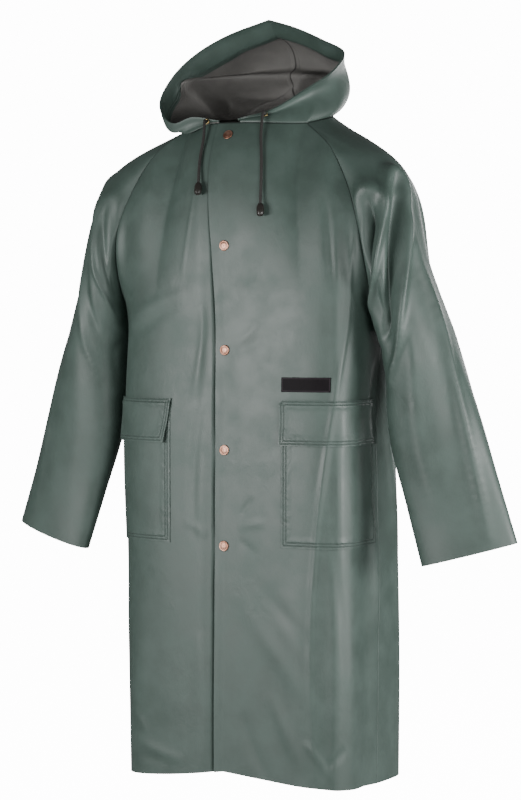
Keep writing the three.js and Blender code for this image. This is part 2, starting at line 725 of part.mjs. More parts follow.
const fromHood = (p) => V(p.x, p.y - 20, p.z - 40);
function hoodFacings(grid) {
  const facings = facingsOf(grid, false, fromHood);
  const last = grid[0].length - 1;
  for (const line of facings) line[last].setX(0).normalize();
  const low = grid.length - 1;
  facings[low] = grid[low].map((p) => seamFacing(p));
  return facings;
}
function hoodHalf(side) {
  const grid = hoodGrid(side);
  const facings = hoodFacings(grid);
  insetRow(grid, facings, grid.length - 1, grid.length - 2, false, HOOD_INSET);
  const last = grid[0].length - 1;
  for (const line of grid) line[last].setX(side * SEAM_INSET);
  return { grid, facings, solid: cloth(grid, facings, CLOTH) };
}

// Edge of the hood turned in round the face: a band on the inner side of the hood.
function turnedEdge(hood, side) {
  const faces = hood.facings.slice(0, EDGE_ROWS + 1).map((line) => line.slice(1));
  const rows = hood.grid.slice(0, EDGE_ROWS + 1).map((line) => line.slice(1));
  const band = rows.map((line, i) => line.map((p, j) => (
    p.clone().addScaledVector(faces[i][j], -CLOTH - LAYER_GAP)
  )));
  for (const line of band) line[line.length - 1].setX(side * SEAM_INSET);
  return cloth(band, faces, CLOTH);
}

// ---- small round parts ----
// Turns a profile of radius and height about its axis and sets it on a place.
function turned(profile, sides, place, facing) {
  const shape = new THREE.LatheGeometry(profile.map(([r, h]) => new THREE.Vector2(r, h)), sides);
  const turn = new THREE.Quaternion().setFromUnitVectors(V(0, 1, 0), facing.clone().normalize());
  const plain = new THREE.BufferGeometry();
  plain.setAttribute('position', shape.getAttribute('position'));
  plain.setIndex(shape.index);
  return mended(plain.applyQuaternion(turn).translate(place.x, place.y, place.z));
}
// Joins points that coincide and drops faces with no area.
function mended(geometry) {
  const merged = mergeVertices(geometry, 1e-3);
  const list = merged.index.array;
  const kept = [];
  for (let i = 0; i < list.length; i += 3) {
    const [a, b, c] = [list[i], list[i + 1], list[i + 2]];
    if (a !== b && b !== c && a !== c) kept.push(a, b, c);
  }
  merged.setIndex(kept);
  return facingOut(merged);
}

// Middle of a small part on a cloth grid and the way the cloth really faces there.
function seat(sheet, row, col) {
  const { point, facing } = onPanel(sheet, row, col);
  const near = 0.35;
  const across = onPanel(sheet, row, col + near).point.sub(onPanel(sheet, row, col - near).point);
  const up = onPanel(sheet, row + near, col).point.sub(onPanel(sheet, row - near, col).point);
  const true_facing = across.cross(up).normalize();
  if (true_facing.dot(facing) < 0) true_facing.negate();
  return { point, facing: true_facing };
}

function snap(panel, z) {
  const { row, col } = placeOn(panel, read(SNAP_LINE, 'z', 'x', z), z);
  const { point, facing } = seat(panel, row, col);
  const r = SNAP_CAP / 2;
  const profile = [[0, 0], [r * 0.86, 0], [r, 0.5], [r, 1], [r * 0.88, 1.6], [r * 0.6, 2.1],
    [0, SNAP_CAP_HIGH]];
  return turned(profile, 20, point.addScaledVector(facing, SNAP_LIFT), facing);
}
// Row and column of a front panel at which it has a given x and height.
function placeOn(panel, x, z) {
  const halve = (low, high, over) => {
    let a = low;
    let b = high;
    for (let k = 0; k < 26; k += 1) {
      const half = (a + b) / 2;
      if (over(half)) b = half;
      else a = half;
    }
    return a;
  };
  const rowOf = (col) => halve(0, panel.grid.length - 1.001, (row) => onPanel(panel, row, col).point.z > z);
  const grows = panel.grid[2][6].x > panel.grid[2][0].x;
  const col = halve(0, 9, (c) => (onPanel(panel, rowOf(c), c).point.x > x) === grows);
  return { row: rowOf(col), col };
}

function eyelet(hood, place) {
  const { point, facing } = place;
  const outer = EYELET.outer / 2;
  const inner = EYELET.inner / 2;
  const profile = [[inner, 0], [outer, 0], [outer, 0.5], [mix(inner, outer, 0.6), EYELET.high],
    [inner + 0.5, 1.1], [inner, 0.7], [inner, 0]];
  return turned(profile, 20, point.clone().addScaledVector(facing, EYELET.lift), facing);
}

function cord(rows, wide) {
  const path = new THREE.CatmullRomCurve3(rows.map((r) => V(r.x, r.y, r.z)), false, 'centripetal');
  const r = wide / 2;
  const shape = new THREE.Shape(Array.from({ length: 10 }, (_, k) => {
    const a = (2 * Math.PI * k) / 10;
    return new THREE.Vector2(r * Math.cos(a), r * Math.sin(a));
  }));
  const steps = Math.ceil(path.getLength() / (wide * 2));
  return mended(plainOf(new THREE.ExtrudeGeometry(shape, { steps, extrudePath: path, bevelEnabled: false })));
}
function plainOf(geometry) {
  const plain = new THREE.BufferGeometry();
  plain.setAttribute('position', geometry.getAttribute('position'));
  if (geometry.index) plain.setIndex(geometry.index);
  return plain;
}
function cordEnd(rows) {
  const a = rows[rows.length - 2];
  const b = rows[rows.length - 1];
  const down = V(b.x - a.x, b.y - a.y, b.z - a.z).normalize();
  const top = V(b.x, b.y, b.z).addScaledVector(down, SEAT_GAP);
  const r = CORD_END.wide / 2;
  const h = CORD_END.high;
  const profile = [[0, 0], [r * 0.62, 0], [r * 0.86, h * 0.14], [r, h * 0.4], [r, h * 0.72],
    [r * 0.84, h * 0.94], [r * 0.5, h], [0, h]];
  return turned(profile, 16, top, down);
}

const group = new THREE.Group();
group.name = 'raincoat';
function add(name, geometry, look) {
  const mesh = new THREE.Mesh(geometry, new THREE.MeshStandardMaterial(look));
  mesh.name = name;
  group.add(mesh);
}
const frontLeft = finishPanel(overFront());
const frontRight = finishPanel(underFront());
const hoodLeft = hoodHalf(1);
const hoodRight = hoodHalf(-1);
add('front_left', frontLeft.solid, green);
add('front_right', frontRight.solid, green);
add('back', finishPanel(backPanel()).solid, green);
add('sleeve_left', sleeve(1), green);
add('sleeve_right', sleeve(-1), green);
add('hood_left', hoodLeft.solid, green);
add('hood_right', hoodRight.solid, green);
add('hood_edge_left', turnedEdge(hoodLeft, 1), green);
add('hood_edge_right', turnedEdge(hoodRight, -1), green);

const onPocket = LAYER_GAP * 2 + CLOTH;
const flapLift = (down) => mix(LAYER_GAP, onPocket, smooth(down * 5)) + 3 * smooth((down - 0.3) / 0.7);
for (const [name, side, panel] of [['left', 1, frontLeft], ['right', -1, frontRight]]) {
  add(`pocket_${name}`, laidOn(panel, side, POCKET, CLOTH, () => LAYER_GAP), green);
  add(`pocket_flap_${name}`, laidOn(panel, side, FLAP, CLOTH, flapLift, [FLAP.top - 14]), green);
}
add('chest_patch', laidOn(frontLeft, 1, LABEL, LABEL_THICK, () => SEAT_GAP), dark_print);
SNAP_Z.forEach((z, i) => add(`snap_${i + 1}`, snap(frontLeft, z), copper));

const ends = [['left', hoodLeft, frontLeft, CORD_LEFT], ['right', hoodRight, frontRight, CORD_RIGHT]];
for (const [name, hood, panel, rows] of ends) {
  const place = seat(hood, EYELET[name].row, EYELET[name].column);
  add(`eyelet_${name}`, eyelet(hood, place), brass);
  const start = place.point.clone().addScaledVector(place.facing, EYELET.lift + EYELET.high + SEAT_GAP);
  const hanging = rows.map((r) => {
    const { row, col } = placeOn(panel, r.x, r.z);
    const at = onPanel(panel, row, col);
    return at.point.addScaledVector(at.facing, r.off);
  });
  const path = [start, start.clone().addScaledVector(place.facing, CORD_WIDE), ...hanging];
  add(`drawcord_${name}`, cord(path, CORD_WIDE), black_cord);
  add(`cord_end_${name}`, cordEnd(path), black_plastic);
}

export default group;
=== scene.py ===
import math
import bpy
import numpy as np
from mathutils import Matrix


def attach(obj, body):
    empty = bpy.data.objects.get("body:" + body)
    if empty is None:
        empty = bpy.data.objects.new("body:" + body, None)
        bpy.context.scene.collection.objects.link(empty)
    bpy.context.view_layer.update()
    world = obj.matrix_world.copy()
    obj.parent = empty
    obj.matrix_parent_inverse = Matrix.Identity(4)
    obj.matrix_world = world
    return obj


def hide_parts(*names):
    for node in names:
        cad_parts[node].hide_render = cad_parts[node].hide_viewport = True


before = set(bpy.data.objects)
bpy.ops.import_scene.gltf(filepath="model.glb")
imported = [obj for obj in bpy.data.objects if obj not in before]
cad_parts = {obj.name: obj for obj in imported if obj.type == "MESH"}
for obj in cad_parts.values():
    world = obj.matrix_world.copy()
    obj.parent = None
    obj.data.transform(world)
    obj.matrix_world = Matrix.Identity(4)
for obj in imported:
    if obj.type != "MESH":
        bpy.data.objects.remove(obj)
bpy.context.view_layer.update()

# The tables are in millimetres, as the coat was measured, and the scene in metres.
MM = 0.001
UNDERARM_Z = -385.0
HALF_GIRTH = 690.0
OVERLAP, UNDERLAP, UNDERLAP_DROP = 18.0, 24.0, 3.4
BODY_ROWS, CHEST_ROWS = 14, 8
# Spans that the seams are counted in
NECK_FRONT_SPANS, RAGLAN_SPANS, NECK_SIDE_SPANS, NECK_BACK_SPANS = 6, 11, 4, 6
SHELL = 1.1    # thickness that the cloth shows
SIDES = ((1, "left"), (-1, "right"))


def table(names, *rows):
    """A table with named columns: a dict of arrays."""
    return {n: np.array([r[i] for r in rows], float) for i, n in enumerate(names.split())}


BODY = table(
    "z width front back middle crisp round",
    (-385, 236, 146, 148, -3, 5.5, 3.2),
    (-540, 234, 147, 146, -11, 6, 3.3),
    (-720, 233, 148, 142, -6, 6, 3.4),
    (-950, 231, 150, 138, 0, 6.5, 3.5),
    (-1175, 228, 151, 136, 2, 7, 3.5),
)
HEM = table(
    "share left right",
    (0, -1137, -1137),
    (0.17, -1147, -1152),
    (0.31, -1152, -1160),
    (0.5, -1160, -1165),
    (1, -1168, -1168),
)
SNAP_LINE = table("z x", (-1175, 0), (-237, 1), (-130, -4), (-44, -15), (-20, -21))
NECK_FRONT = table("x y z", (-23, -88, -21), (20, -89, -22), (62, -82, -24), (95, -70, -25), (114, -56, -24))
NECK_FRONT_RIGHT = table(
    "x y z", (-23, -88, -21), (-48, -88, -21), (-78, -81, -23), (-100, -70, -25), (-114, -56, -24)
)
NECK_SIDE = table("x y z", (114, -56, -24), (126, 0, -12), (112, 54, -4))
NECK_BACK = table("x y z", (112, 54, -4), (88, 76, -2), (46, 89, 0), (0, 93, 0))
RAGLAN_FRONT = table(
    "x y z",
    (114, -56, -24), (168, -80, -66), (211, -97, -138), (236, -108, -214), (246, -66, -320), (240, 0, -385),
)
RAGLAN_BACK = table(
    "x y z",
    (112, 54, -4), (162, 84, -52), (208, 108, -130), (236, 114, -214), (246, 68, -320), (240, 0, -385),
)
SLEEVE = table(
    "x y z across deep tilt turn",
    (264, -26, -248, 142, 98, 83, 0),
    (288, -30, -336, 75, 86, 58, 2),
    (315, -30, -430, 66, 70, 26, 5),
    (343, -34, -545, 80, 50, 16, 9),
    (376, -36, -655, 82, 36, 15, 11),
    (408, -40, -757, 84, 27, 15, 12),
)
RIM_LEFT = table(
    "x y z",
    (-4, -87, -17), (56, -78, -2), (112, -46, 36), (141, -8, 67),
    (144, 33, 106), (102, 33, 130), (50, 28, 154), (0, 23, 170),
)
RIM_RIGHT = table(
    "x y z",
    (-42, -87, -17), (-94, -89, -9), (-134, -84, -18), (-163, -74, -2), (-176, -60, 26),
    (-160, -42, 70), (-126, -20, 110), (-74, 2, 143), (0, 23, 170),
)
HOOD_LEFT = table(
    "along out back up inward forward down",
    (0, 4, 4, 5, 0, 0, 12),
    (0.25, 14, 70, -16, 14, 20, 70),
    (0.55, -150, 250, 6, 110, 160, 100),
    (0.8, -70, 370, 30, 60, 190, 190),
    (1, 0, 400, 30, 0, 200, 230),
)
HOOD_RIGHT = table(
    "along out back up inward forward down",
    (0, 4, 3, -4, 0, 0, 12),
    (0.14, 16, 14, -30, 40, 0, 36),
    (0.3, 10, 60, -110, 120, 0, 80),
    (0.55, -60, 210, -60, 120, 120, 110),
    (0.8, -50, 350, 10, 70, 190, 180),
    (1, 0, 400, 30, 0, 200, 230),
)
# Creases of the hood's halves along bent paths of places (share of the rim, share of the
# way down to the neck): half width and push forward, which is into the hood at its back.
HOOD_CREASES = {
    -1: (
        (18, 36, (0.5, 0.16), (0.56, 0.25), (0.6, 0.4), (0.72, 0.575), (0.87, 0.645), (1.06, 0.67)),
        (22, -16, (0.66, 0.66), (0.78, 0.75), (0.9, 0.79), (1.06, 0.8)),
        (15, 34, (0.53, 0.2), (0.545, 0.45), (0.56, 0.66), (0.6, 0.9)),
        (12, -8, (0.58, 0.55), (0.62, 0.7), (0.66, 0.86)),
        (9, 14, (1.04, 0.76), (0.95, 0.8), (0.86, 0.86), (0.78, 0.93)),
        (13, 7, (0.82, 0.16), (0.86, 0.34), (0.95, 0.5)),
    ),
    1: (
        (18, 36, (1.06, 0.67), (0.96, 0.67), (0.88, 0.66), (0.78, 0.6)),
        (22, -16, (1.06, 0.8), (0.95, 0.8), (0.84, 0.76)),
        (9, 20, (0.84, 0.64), (0.9, 0.69), (0.97, 0.75), (1.06, 0.8)),
        (14, -8, (0.72, 0.3), (0.76, 0.46), (0.74, 0.6)),
    ),
}
# Where the hood's cloth sags over the right shoulder: place, half widths and drop.
HOOD_SAG = {"along": 0.17, "half_along": 0.11, "down": 0.35, "half_down": 0.3, "drop": 19.0, "out": 9.0}
SEAM_RIDGE, SEAM_RIDGE_HALF, SEAM_RIDGE_FROM = 2.2, 5.0, 0.17
FACING_WIDTH = 44.0
# The empty hood dips behind its edge: how far, and over which shares down and along.
HOOD_DIP = {"drop": 25.0, "in": 0.15, "back": 0.62, "from": 0.42, "over": 0.36}
BODY_FOLDS = table(
    "share drift top bottom half push",
    (0.31, 0, -190, -1160, 13, 4),
    (0.42, 0.02, -420, -1175, 34, -7),
    (0.2, 0.03, -770, -1160, 40, 4),
    (-0.3, 0.01, -780, -1160, 40, 5),
    (-0.44, -0.02, -420, -1175, 36, -7),
    (0.66, 0.02, -300, -1175, 44, 9),
    (0.83, 0.01, -480, -1175, 40, -7),
    (-0.68, -0.03, -330, -1175, 44, 8),
    (-0.86, 0, -430, -1175, 42, -6),
)
SLEEVE_FOLDS = table(
    "around turn start end half push",
    (0.19, 0, 0.1, 0.5, 0.05, -13),
    (0.72, -0.02, 0.12, 0.55, 0.04, 6),
    (0.8, 0, 0.12, 0.5, 0.05, -10),
    (0.64, -0.02, 0.14, 0.7, 0.04, -6),
)
SNAP_Z = (-44, -237, -416, -587, -751)
POCKET = {"start": 112, "end": 334, "top": -512, "bottom": -750}
FLAP = {"start": 109, "end": 337, "top": -500, "bottom": -577}
LABEL = {"start": 112, "end": 202, "top": -461, "bottom": -486}

# Curves and tables


def smooth(t):
    """3t^2 - 2t^3 between 0 and 1."""
    c = np.clip(t, 0, 1)
    return c * c * (3 - 2 * c)


def unit(v):
    """Vectors made 1 long."""
    return v / np.maximum(np.linalg.norm(v, axis=-1, keepdims=True), 1e-9)


def rows_of(tab):
    """The rows of a table, one after another."""
    return zip(*tab.values())


def read(tab, by, want, at):
    """Column `want` at positions `at` of column `by`, by a cubic through the rows."""
    x, y = tab[by], tab[want]
    if x[0] > x[-1]:
        x, y = x[::-1], y[::-1]
    at = np.asarray(at, float)
    i = np.clip(np.searchsorted(x, at) - 1, 0, len(x) - 2)
    lo, hi = np.maximum(i - 1, 0), np.minimum(i + 2, len(x) - 1)
    span = x[i + 1] - x[i]
    t = np.clip((at - x[i]) / span, 0, 1)
    m0 = (y[i + 1] - y[lo]) / (x[i + 1] - x[lo]) * span
    m1 = (y[hi] - y[i]) / (x[hi] - x[i]) * span
    return hermite(t, y[i], m0, y[i + 1], m1)


def hermite(t, p, m0, q, m1):
    """The cubic from p to q that leaves along m0 and arrives along m1."""
    t2, t3 = t * t, t * t * t
    return (2 * t3 - 3 * t2 + 1) * p + (t3 - 2 * t2 + t) * m0 + (-2 * t3 + 3 * t2) * q + (t3 - t2) * m1


def through(points, t):
    """Smooth curve through points (n, ..., 3) at t from 0 to n-1, its knots spaced by the
    square root of the points' distance."""
    p = np.concatenate([2 * points[:1] - points[1:2], points, 2 * points[-1:] - points[-2:-1]])
    i = np.clip(np.floor(t).astype(int), 0, len(points) - 2)
    w = (t - i).reshape((-1,) + (1,) * (points.ndim - 1))
    a, b, c, d = p[i], p[i + 1], p[i + 2], p[i + 3]
    gap = lambda u, v: np.maximum(np.linalg.norm(v - u, axis=-1, keepdims=True), 1e-6) ** 0.5
    d0, d1, d2 = gap(a, b), gap(b, c), gap(c, d)
    t1 = ((b - a) / d0 - (c - a) / (d0 + d1) + (c - b) / d1) * d1
    t2 = ((c - b) / d1 - (d - b) / (d1 + d2) + (d - c) / d2) * d1
    return hermite(w, b, t1, c, t2)


def lengths(points, axis=0):
    """Length along a line, or along a grid's rows or columns, from its first point."""
    gaps = np.linalg.norm(np.diff(points, axis=axis), axis=-1)
    return np.concatenate([0 * gaps.take([0], axis), np.cumsum(gaps, axis)], axis)


def at_lengths(line, run, want):
    """Points of a line, whose own lengths are run, at the lengths wanted."""
    return np.stack([np.interp(want, run, line[:, k]) for k in range(line.shape[1])], -1)


def evenly(tab, shares, side=1):
    """Points of the smooth curve through a table's x, y, z at shares of its length."""
    p = np.stack([tab["x"] * side, tab["y"], tab["z"]], 1)
    fine = through(p, np.linspace(0, len(p) - 1, 600))
    run = lengths(fine)
    return at_lengths(fine, run, shares * run[-1])


def follow(c, *parts):
    """Points at places c along seams that follow each other. Each part is the place where
    it ends, its table and side, and its share at each place."""
    points = None
    for end, tab, side, shares in reversed(parts):
        here = evenly(tab, np.clip(shares, 0, 1), side)
        points = here if points is None else np.where((c <= end)[:, None], here, points)
    return points


# The body's surface

RING_Z = np.linspace(-1190, -380, 110)
RING_SHARE = np.linspace(0, 1, 420)


def make_rings(side):
    """Body sections, x and y by height and share of the half girth: rounded rectangles
    |x/w|^n + |y/d|^n = 1, with their own n for each corner."""
    out = np.zeros((len(RING_Z), len(RING_SHARE), 2))
    a = np.linspace(0, math.pi, 500)
    front = a < math.pi / 2
    for k, z in enumerate(RING_Z):
        v = {n: float(read(BODY, "z", n, z)) for n in BODY}
        snap_x = float(read(SNAP_LINE, "z", "x", z))
        power = 2 / np.where(front, v["crisp"] if side > 0 else v["round"], v["round"])
        x = v["middle"] + side * v["width"] * np.abs(np.sin(a)) ** power
        y = np.where(front, -v["front"], v["back"]) * np.abs(np.cos(a)) ** power
        start = np.argmax(side * (x - snap_x) > 0)
        line = np.stack([np.append(snap_x, x[start:]), np.append(-v["front"], y[start:])], 1)
        run = lengths(line)
        out[k] = at_lengths(line, run, RING_SHARE * run[-1])
    return out


RINGS = {1: make_rings(1), -1: make_rings(-1)}


def folded(share):
    """Signed shares of the half girth (left is plus, past 1 is the other side) as the share
    from the front and whether it is on the left."""
    wraps = np.abs(share) > 1
    return np.where(wraps, 2 - np.abs(share), np.abs(share)), (share < 0) == wraps


def on_ring(z, share):
    """Points of the body at heights and signed shares of the half girth."""
    z, share = np.broadcast_arrays(np.asarray(z, float), np.asarray(share, float))
    s, left = folded(share)
    fz = np.clip((z - RING_Z[0]) / (RING_Z[1] - RING_Z[0]), 0, len(RING_Z) - 1.001)
    fs = np.clip(s * (len(RING_SHARE) - 1), 0, len(RING_SHARE) - 1.001)
    i, j = fz.astype(int), fs.astype(int)
    u, v = (fz - i)[..., None], (fs - j)[..., None]

    def blend(g):
        near = g[i, j] * (1 - u) * (1 - v) + g[i + 1, j] * u * (1 - v)
        return near + g[i, j + 1] * (1 - u) * v + g[i + 1, j + 1] * u * v

    return np.concatenate([np.where(left[..., None], blend(RINGS[1]), blend(RINGS[-1])), z[..., None]], -1)


def ring_out(z, share):
    """Level direction out of the body."""
    step = 0.006
    p, q = on_ring(z, share - step), on_ring(z, share + step)
    return unit(np.stack([q[..., 1] - p[..., 1], p[..., 0] - q[..., 0], 0 * p[..., 0]], -1))


def hem_z(share):
    s, left = folded(share)
    return np.where(left, read(HEM, "share", "left", s), read(HEM, "share", "right", s))


def body_push(z, share):
    """Long soft folds: each a bell across, push * exp(-(off / half)^2), that fades in at its top."""
    total = 0
    for place, drift, top, bottom, half, push in rows_of(BODY_FOLDS):
        down = (top - z) / (top - bottom)
        off = (share - place - drift * down) * HALF_GIRTH / half
        total = total + push * np.exp(-off * off) * smooth(down * 3) * (down > 0)
    return total


def folded_ring(z, share):
    """Points of the body with its long folds."""
    return on_ring(z, share) + ring_out(z, share) * body_push(z, share)[..., None]


LOWER = BODY_ROWS / (BODY_ROWS + CHEST_ROWS)
# How the chest's cloth arrives at the neck and the raglan seam: in and up, by its length,
# and the height from which it leans in, which is full 300 mm higher.
LEAN_IN, LEAN_UP, LEAN_FROM, LEAN_OVER = 0.62, 0.85, -330.0, 300.0


def body_points(share, top, row):
    """Body grid (rows, columns, 3): level sections below the underarm, and above it a cubic
    from the underarm ring up to the neck or the raglan seam."""
    row = row[:, None]
    share = share[None, :]
    low = folded_ring(hem_z(share) + (UNDERARM_Z - hem_z(share)) * np.minimum(row / LOWER, 1), share)
    t = np.clip((row - LOWER) / (1 - LOWER), 0, 1)[..., None]
    start = folded_ring(UNDERARM_Z, share)
    top = top[None]
    reach = np.linalg.norm(start - top, axis=-1, keepdims=True)
    inward = -np.sign(top[..., 1:2]) * smooth((top[..., 2:3] - LEAN_FROM) / LEAN_OVER)
    arrive = reach * np.concatenate([0 * inward, inward * LEAN_IN, 0 * inward + LEAN_UP], -1)
    high = hermite(t, start, reach * np.array([0, 0, 1.0]), top, arrive)
    return np.where((row > LOWER)[..., None], high, low)


STROKE_DEPTH = 1.25
# Fine folds, each a soft stroke on the flat cloth. Strokes on the body are given by
# place round the coat (share of the half girth, left is plus) and height at both ends.
BODY_STROKES = table(
    "u0 z0 u1 z1 half push",
    # front, by the snaps
    (0.035, -402, 0.1, -365, 7, -0.8),
    (0.03, -415, 0.12, -398, 8, 0.8),
    (0.04, -322, 0.11, -300, 9, 0.8),
    (0.045, -700, 0.085, -668, 5, -0.9),
    (0.04, -722, 0.12, -706, 6, 1),
    (0.04, -742, 0.1, -762, 6, -0.9),
    (-0.05, -735, -0.12, -712, 7, 0.8),
    # front, wearer's right
    (-0.12, -318, -0.34, -372, 15, 1.7),
    (-0.14, -345, -0.36, -398, 12, -1.5),
    (-0.1, -300, -0.3, -330, 13, -1.1),
    (-0.075, -330, -0.085, -500, 7, 1.6),
    (-0.105, -120, -0.115, -300, 3, 0.9),
    (-0.06, -420, -0.07, -760, 10, -1.5),
    (-0.3, -1086, -0.12, -1128, 9, 1.6),
    (-0.32, -1110, -0.16, -1140, 8, -1.5),
    (-0.3, -1040, -0.24, -1090, 8, 1.3),
    (-0.08, -900, -0.06, -1150, 18, 1.6),
    # front, wearer's left
    (0.27, -150, 0.315, -320, 7, -2.6),
    (0.315, -200, 0.312, -1140, 5, 2.2),
    (0.345, -380, 0.337, -960, 9, -2),
    (0.06, -820, 0.27, -1050, 16, 1.1),
    (0.1, -800, 0.28, -960, 14, -1),
    (0.23, -1072, 0.3, -1138, 6, 2.2),
    (0.33, -1080, 0.285, -1120, 6, -2),
    (0.12, -1000, 0.25, -1120, 13, 1.2),
    (0.05, -1030, 0.14, -1150, 12, -1),
    # sides
    (0.5, -430, 0.47, -620, 14, -4),
    (0.56, -470, 0.6, -780, 16, 3.6),
    (0.44, -640, 0.5, -900, 15, 3),
    (-0.5, -430, -0.46, -640, 14, -4),
    (-0.57, -480, -0.62, -800, 16, 3.4),
    (-0.42, -700, -0.5, -980, 15, 2.8),
    # back
    (0.94, -300, 0.9, -520, 14, 2.4),
    (0.8, -360, 0.86, -520, 10, -2.6),
    (-0.9, -320, -0.94, -560, 13, -2.4),
    (-0.78, -400, -0.84, -640, 12, 2.6),
    (0.72, -860, 0.78, -1140, 15, 3.4),
    (-0.96, -900, -0.92, -1160, 16, 3),
    (-0.74, -880, -0.7, -1150, 14, -3.2),
    (0.9, -960, 0.96, -1150, 12, -2.8),
)
STROKE_BEND = 0.05    # how far a stroke bows, as a share of its length


def strokes(share, z):
    """Sum of the body's soft strokes. Each is push * exp(-(d / half)^2) times a sine that
    fades at both ends, where d is the distance from its slightly bent line."""
    total = np.zeros(np.broadcast(share, z).shape)
    for k, (u0, z0, u1, z1, half, push) in enumerate(rows_of(BODY_STROKES)):
        du, dz = (u1 - u0) * HALF_GIRTH, z1 - z0
        length = math.hypot(du, dz)
        pu, pz = (share - u0) * HALF_GIRTH, z - z0
        t = np.clip((pu * du + pz * dz) / length**2, 0, 1)
        d = (pu * dz - pz * du) / length - STROKE_BEND * length * np.sin(math.pi * t + k)
        total += push * np.exp(-((d / half) ** 2)) * np.sin(math.pi * t) ** 0.7
    return STROKE_DEPTH * total


# The right sleeve hangs straighter: its folds have this share of the left one's depth.
CALMER = 0.28
# Creases of a sleeve, each along a bent path of places round it (w, 0 underarm, 0.25
# front, 0.5 outer side, 0.75 back) and down it (0 seam, 1 cuff): half width and push.
SLEEVE_CREASES = (
    (8, 13, (0.262, 0.05), (0.323, 0.1), (0.348, 0.135), (0.36, 0.158), (0.364, 0.19)),
    (9, 14, (0.362, 0.185), (0.323, 0.198), (0.285, 0.21), (0.245, 0.222), (0.19, 0.2), (0.13, 0.16)),
    (8, 14, (0.364, 0.2), (0.385, 0.172), (0.415, 0.162), (0.446, 0.164), (0.462, 0.186), (0.456, 0.215)),
    (
        10, 14, (0.458, 0.2), (0.438, 0.232), (0.42, 0.262), (0.392, 0.295), (0.354, 0.33),
        (0.292, 0.388), (0.223, 0.457), (0.138, 0.527),
    ),
    (15, -26, (0.33, 0.15), (0.285, 0.145), (0.235, 0.13), (0.17, 0.09)),
    (15, -22, (0.415, 0.195), (0.388, 0.225), (0.348, 0.262), (0.3, 0.305), (0.235, 0.345), (0.17, 0.38)),
    (
        12, 7, (0.445, 0.26), (0.469, 0.388), (0.454, 0.465), (0.415, 0.558),
        (0.385, 0.667), (0.362, 0.8), (0.34, 0.96),
    ),
    (26, -5, (0.425, 0.34), (0.41, 0.44), (0.37, 0.56), (0.32, 0.7), (0.3, 0.86)),
    (16, 5, (0.3, 0.44), (0.24, 0.56), (0.2, 0.7), (0.19, 0.86)),
    (14, -6, (0.54, 0.1), (0.56, 0.26), (0.58, 0.44)),
    (12, 6, (0.62, 0.17), (0.68, 0.26), (0.76, 0.37), (0.83, 0.46)),
    (12, -9, (0.6, 0.16), (0.65, 0.22), (0.7, 0.3), (0.78, 0.38)),
    (10, 6, (0.7, 0.07), (0.69, 0.14), (0.74, 0.19), (0.82, 0.18)),
    (13, -7, (0.74, 0.1), (0.77, 0.15), (0.84, 0.12)),
    (14, 5, (0.56, 0.34), (0.575, 0.5), (0.6, 0.7), (0.62, 0.88)),
    (16, -5, (0.86, 0.46), (0.8, 0.6), (0.76, 0.78)),
    (12, 5, (0.93, 0.38), (0.97, 0.48), (0.94, 0.6)),
    (10, -5, (0.03, 0.34), (0.08, 0.42), (0.05, 0.54)),
)
# Girth and length that the creases of a sleeve and of half the hood are placed by
SLEEVE_SIZE, HOOD_SIZE = (470.0, 640.0), (420.0, 340.0)


def creases(u, v, paths, size):
    """Sum of soft creases along bent paths: push * exp(-(d / half)^2), where d is the
    distance in millimetres, size[0] wide and size[1] long, and the ends fade."""
    total = np.zeros(np.broadcast(u, v).shape)
    u, v = np.broadcast_arrays(u * size[0], v * size[1])
    for half, push, *path in paths:
        line = np.array([(a * size[0], b * size[1], 0) for a, b in path])
        line = through(line, np.linspace(0, len(line) - 1, 40))[:, :2]
        gap = (u[..., None] - line[:, 0]) ** 2 + (v[..., None] - line[:, 1]) ** 2
        fade = np.sin(math.pi * np.clip((gap.argmin(-1) + 1.5) / 42, 0, 1)) ** 0.6
        total += push * np.exp(-gap.min(-1) / half**2) * fade
    return total


FINE = 1.0


def steps(start, end, per):
    """Places from start to end with `per` steps to each whole one."""
    return np.linspace(start, end, max(2, int(round((end - start) * per * FINE)) + 1))


def facing_of(grid, outward, closed=False):
    """Unit normals of a grid (rows, columns, 3) from its neighbours. Where closed, the
    columns go round. outward gives a rough way out, to choose the side."""
    if closed:
        cols = np.roll(grid, -1, 1) - np.roll(grid, 1, 1)
    else:
        cols = np.gradient(grid, axis=1)
    n = unit(np.cross(cols, np.gradient(grid, axis=0)))
    return -n if np.sum(n * outward) < 0 else n


def body_facing(grid):
    return facing_of(grid, grid * [1, 1, 0])


def sleeve_facing(grid):
    return facing_of(grid, grid - grid.mean(1, keepdims=True), True)


RAGLAN_SHARE = 150 / HALF_GIRTH       # where the raglan seam meets the neck
ARM_SHARE, SIDE_SHARE = 0.478, 0.022  # before the last span by the side seam, and over it
COLUMNS = NECK_FRONT_SPANS + RAGLAN_SPANS


def columns(neck, raglan, side, c, neck_side):
    """Top points and shares of the half girth, counted from the middle, of a panel's
    columns c: along the neck first and then along the raglan seam to the underarm."""
    past_neck = c - NECK_FRONT_SPANS
    on_neck = c / NECK_FRONT_SPANS
    on_raglan = past_neck / RAGLAN_SPANS
    top = follow(c, (NECK_FRONT_SPANS, neck, neck_side, on_neck), (COLUMNS, raglan, side, on_raglan))
    near = np.clip(past_neck / (RAGLAN_SPANS - 1), 0, 1)
    share = RAGLAN_SHARE + (ARM_SHARE - RAGLAN_SHARE) * near**0.86
    share = np.where(past_neck <= 0, RAGLAN_SHARE * on_neck, share)
    return top, np.where(c > COLUMNS - 1, ARM_SHARE + SIDE_SHARE * (c - COLUMNS + 1), share)


ROWS = np.concatenate([steps(0, LOWER, 230), steps(LOWER, 1, 190)[1:]])
SEAM_FADE = 25.0    # fine folds fade out over this distance to the upper seams


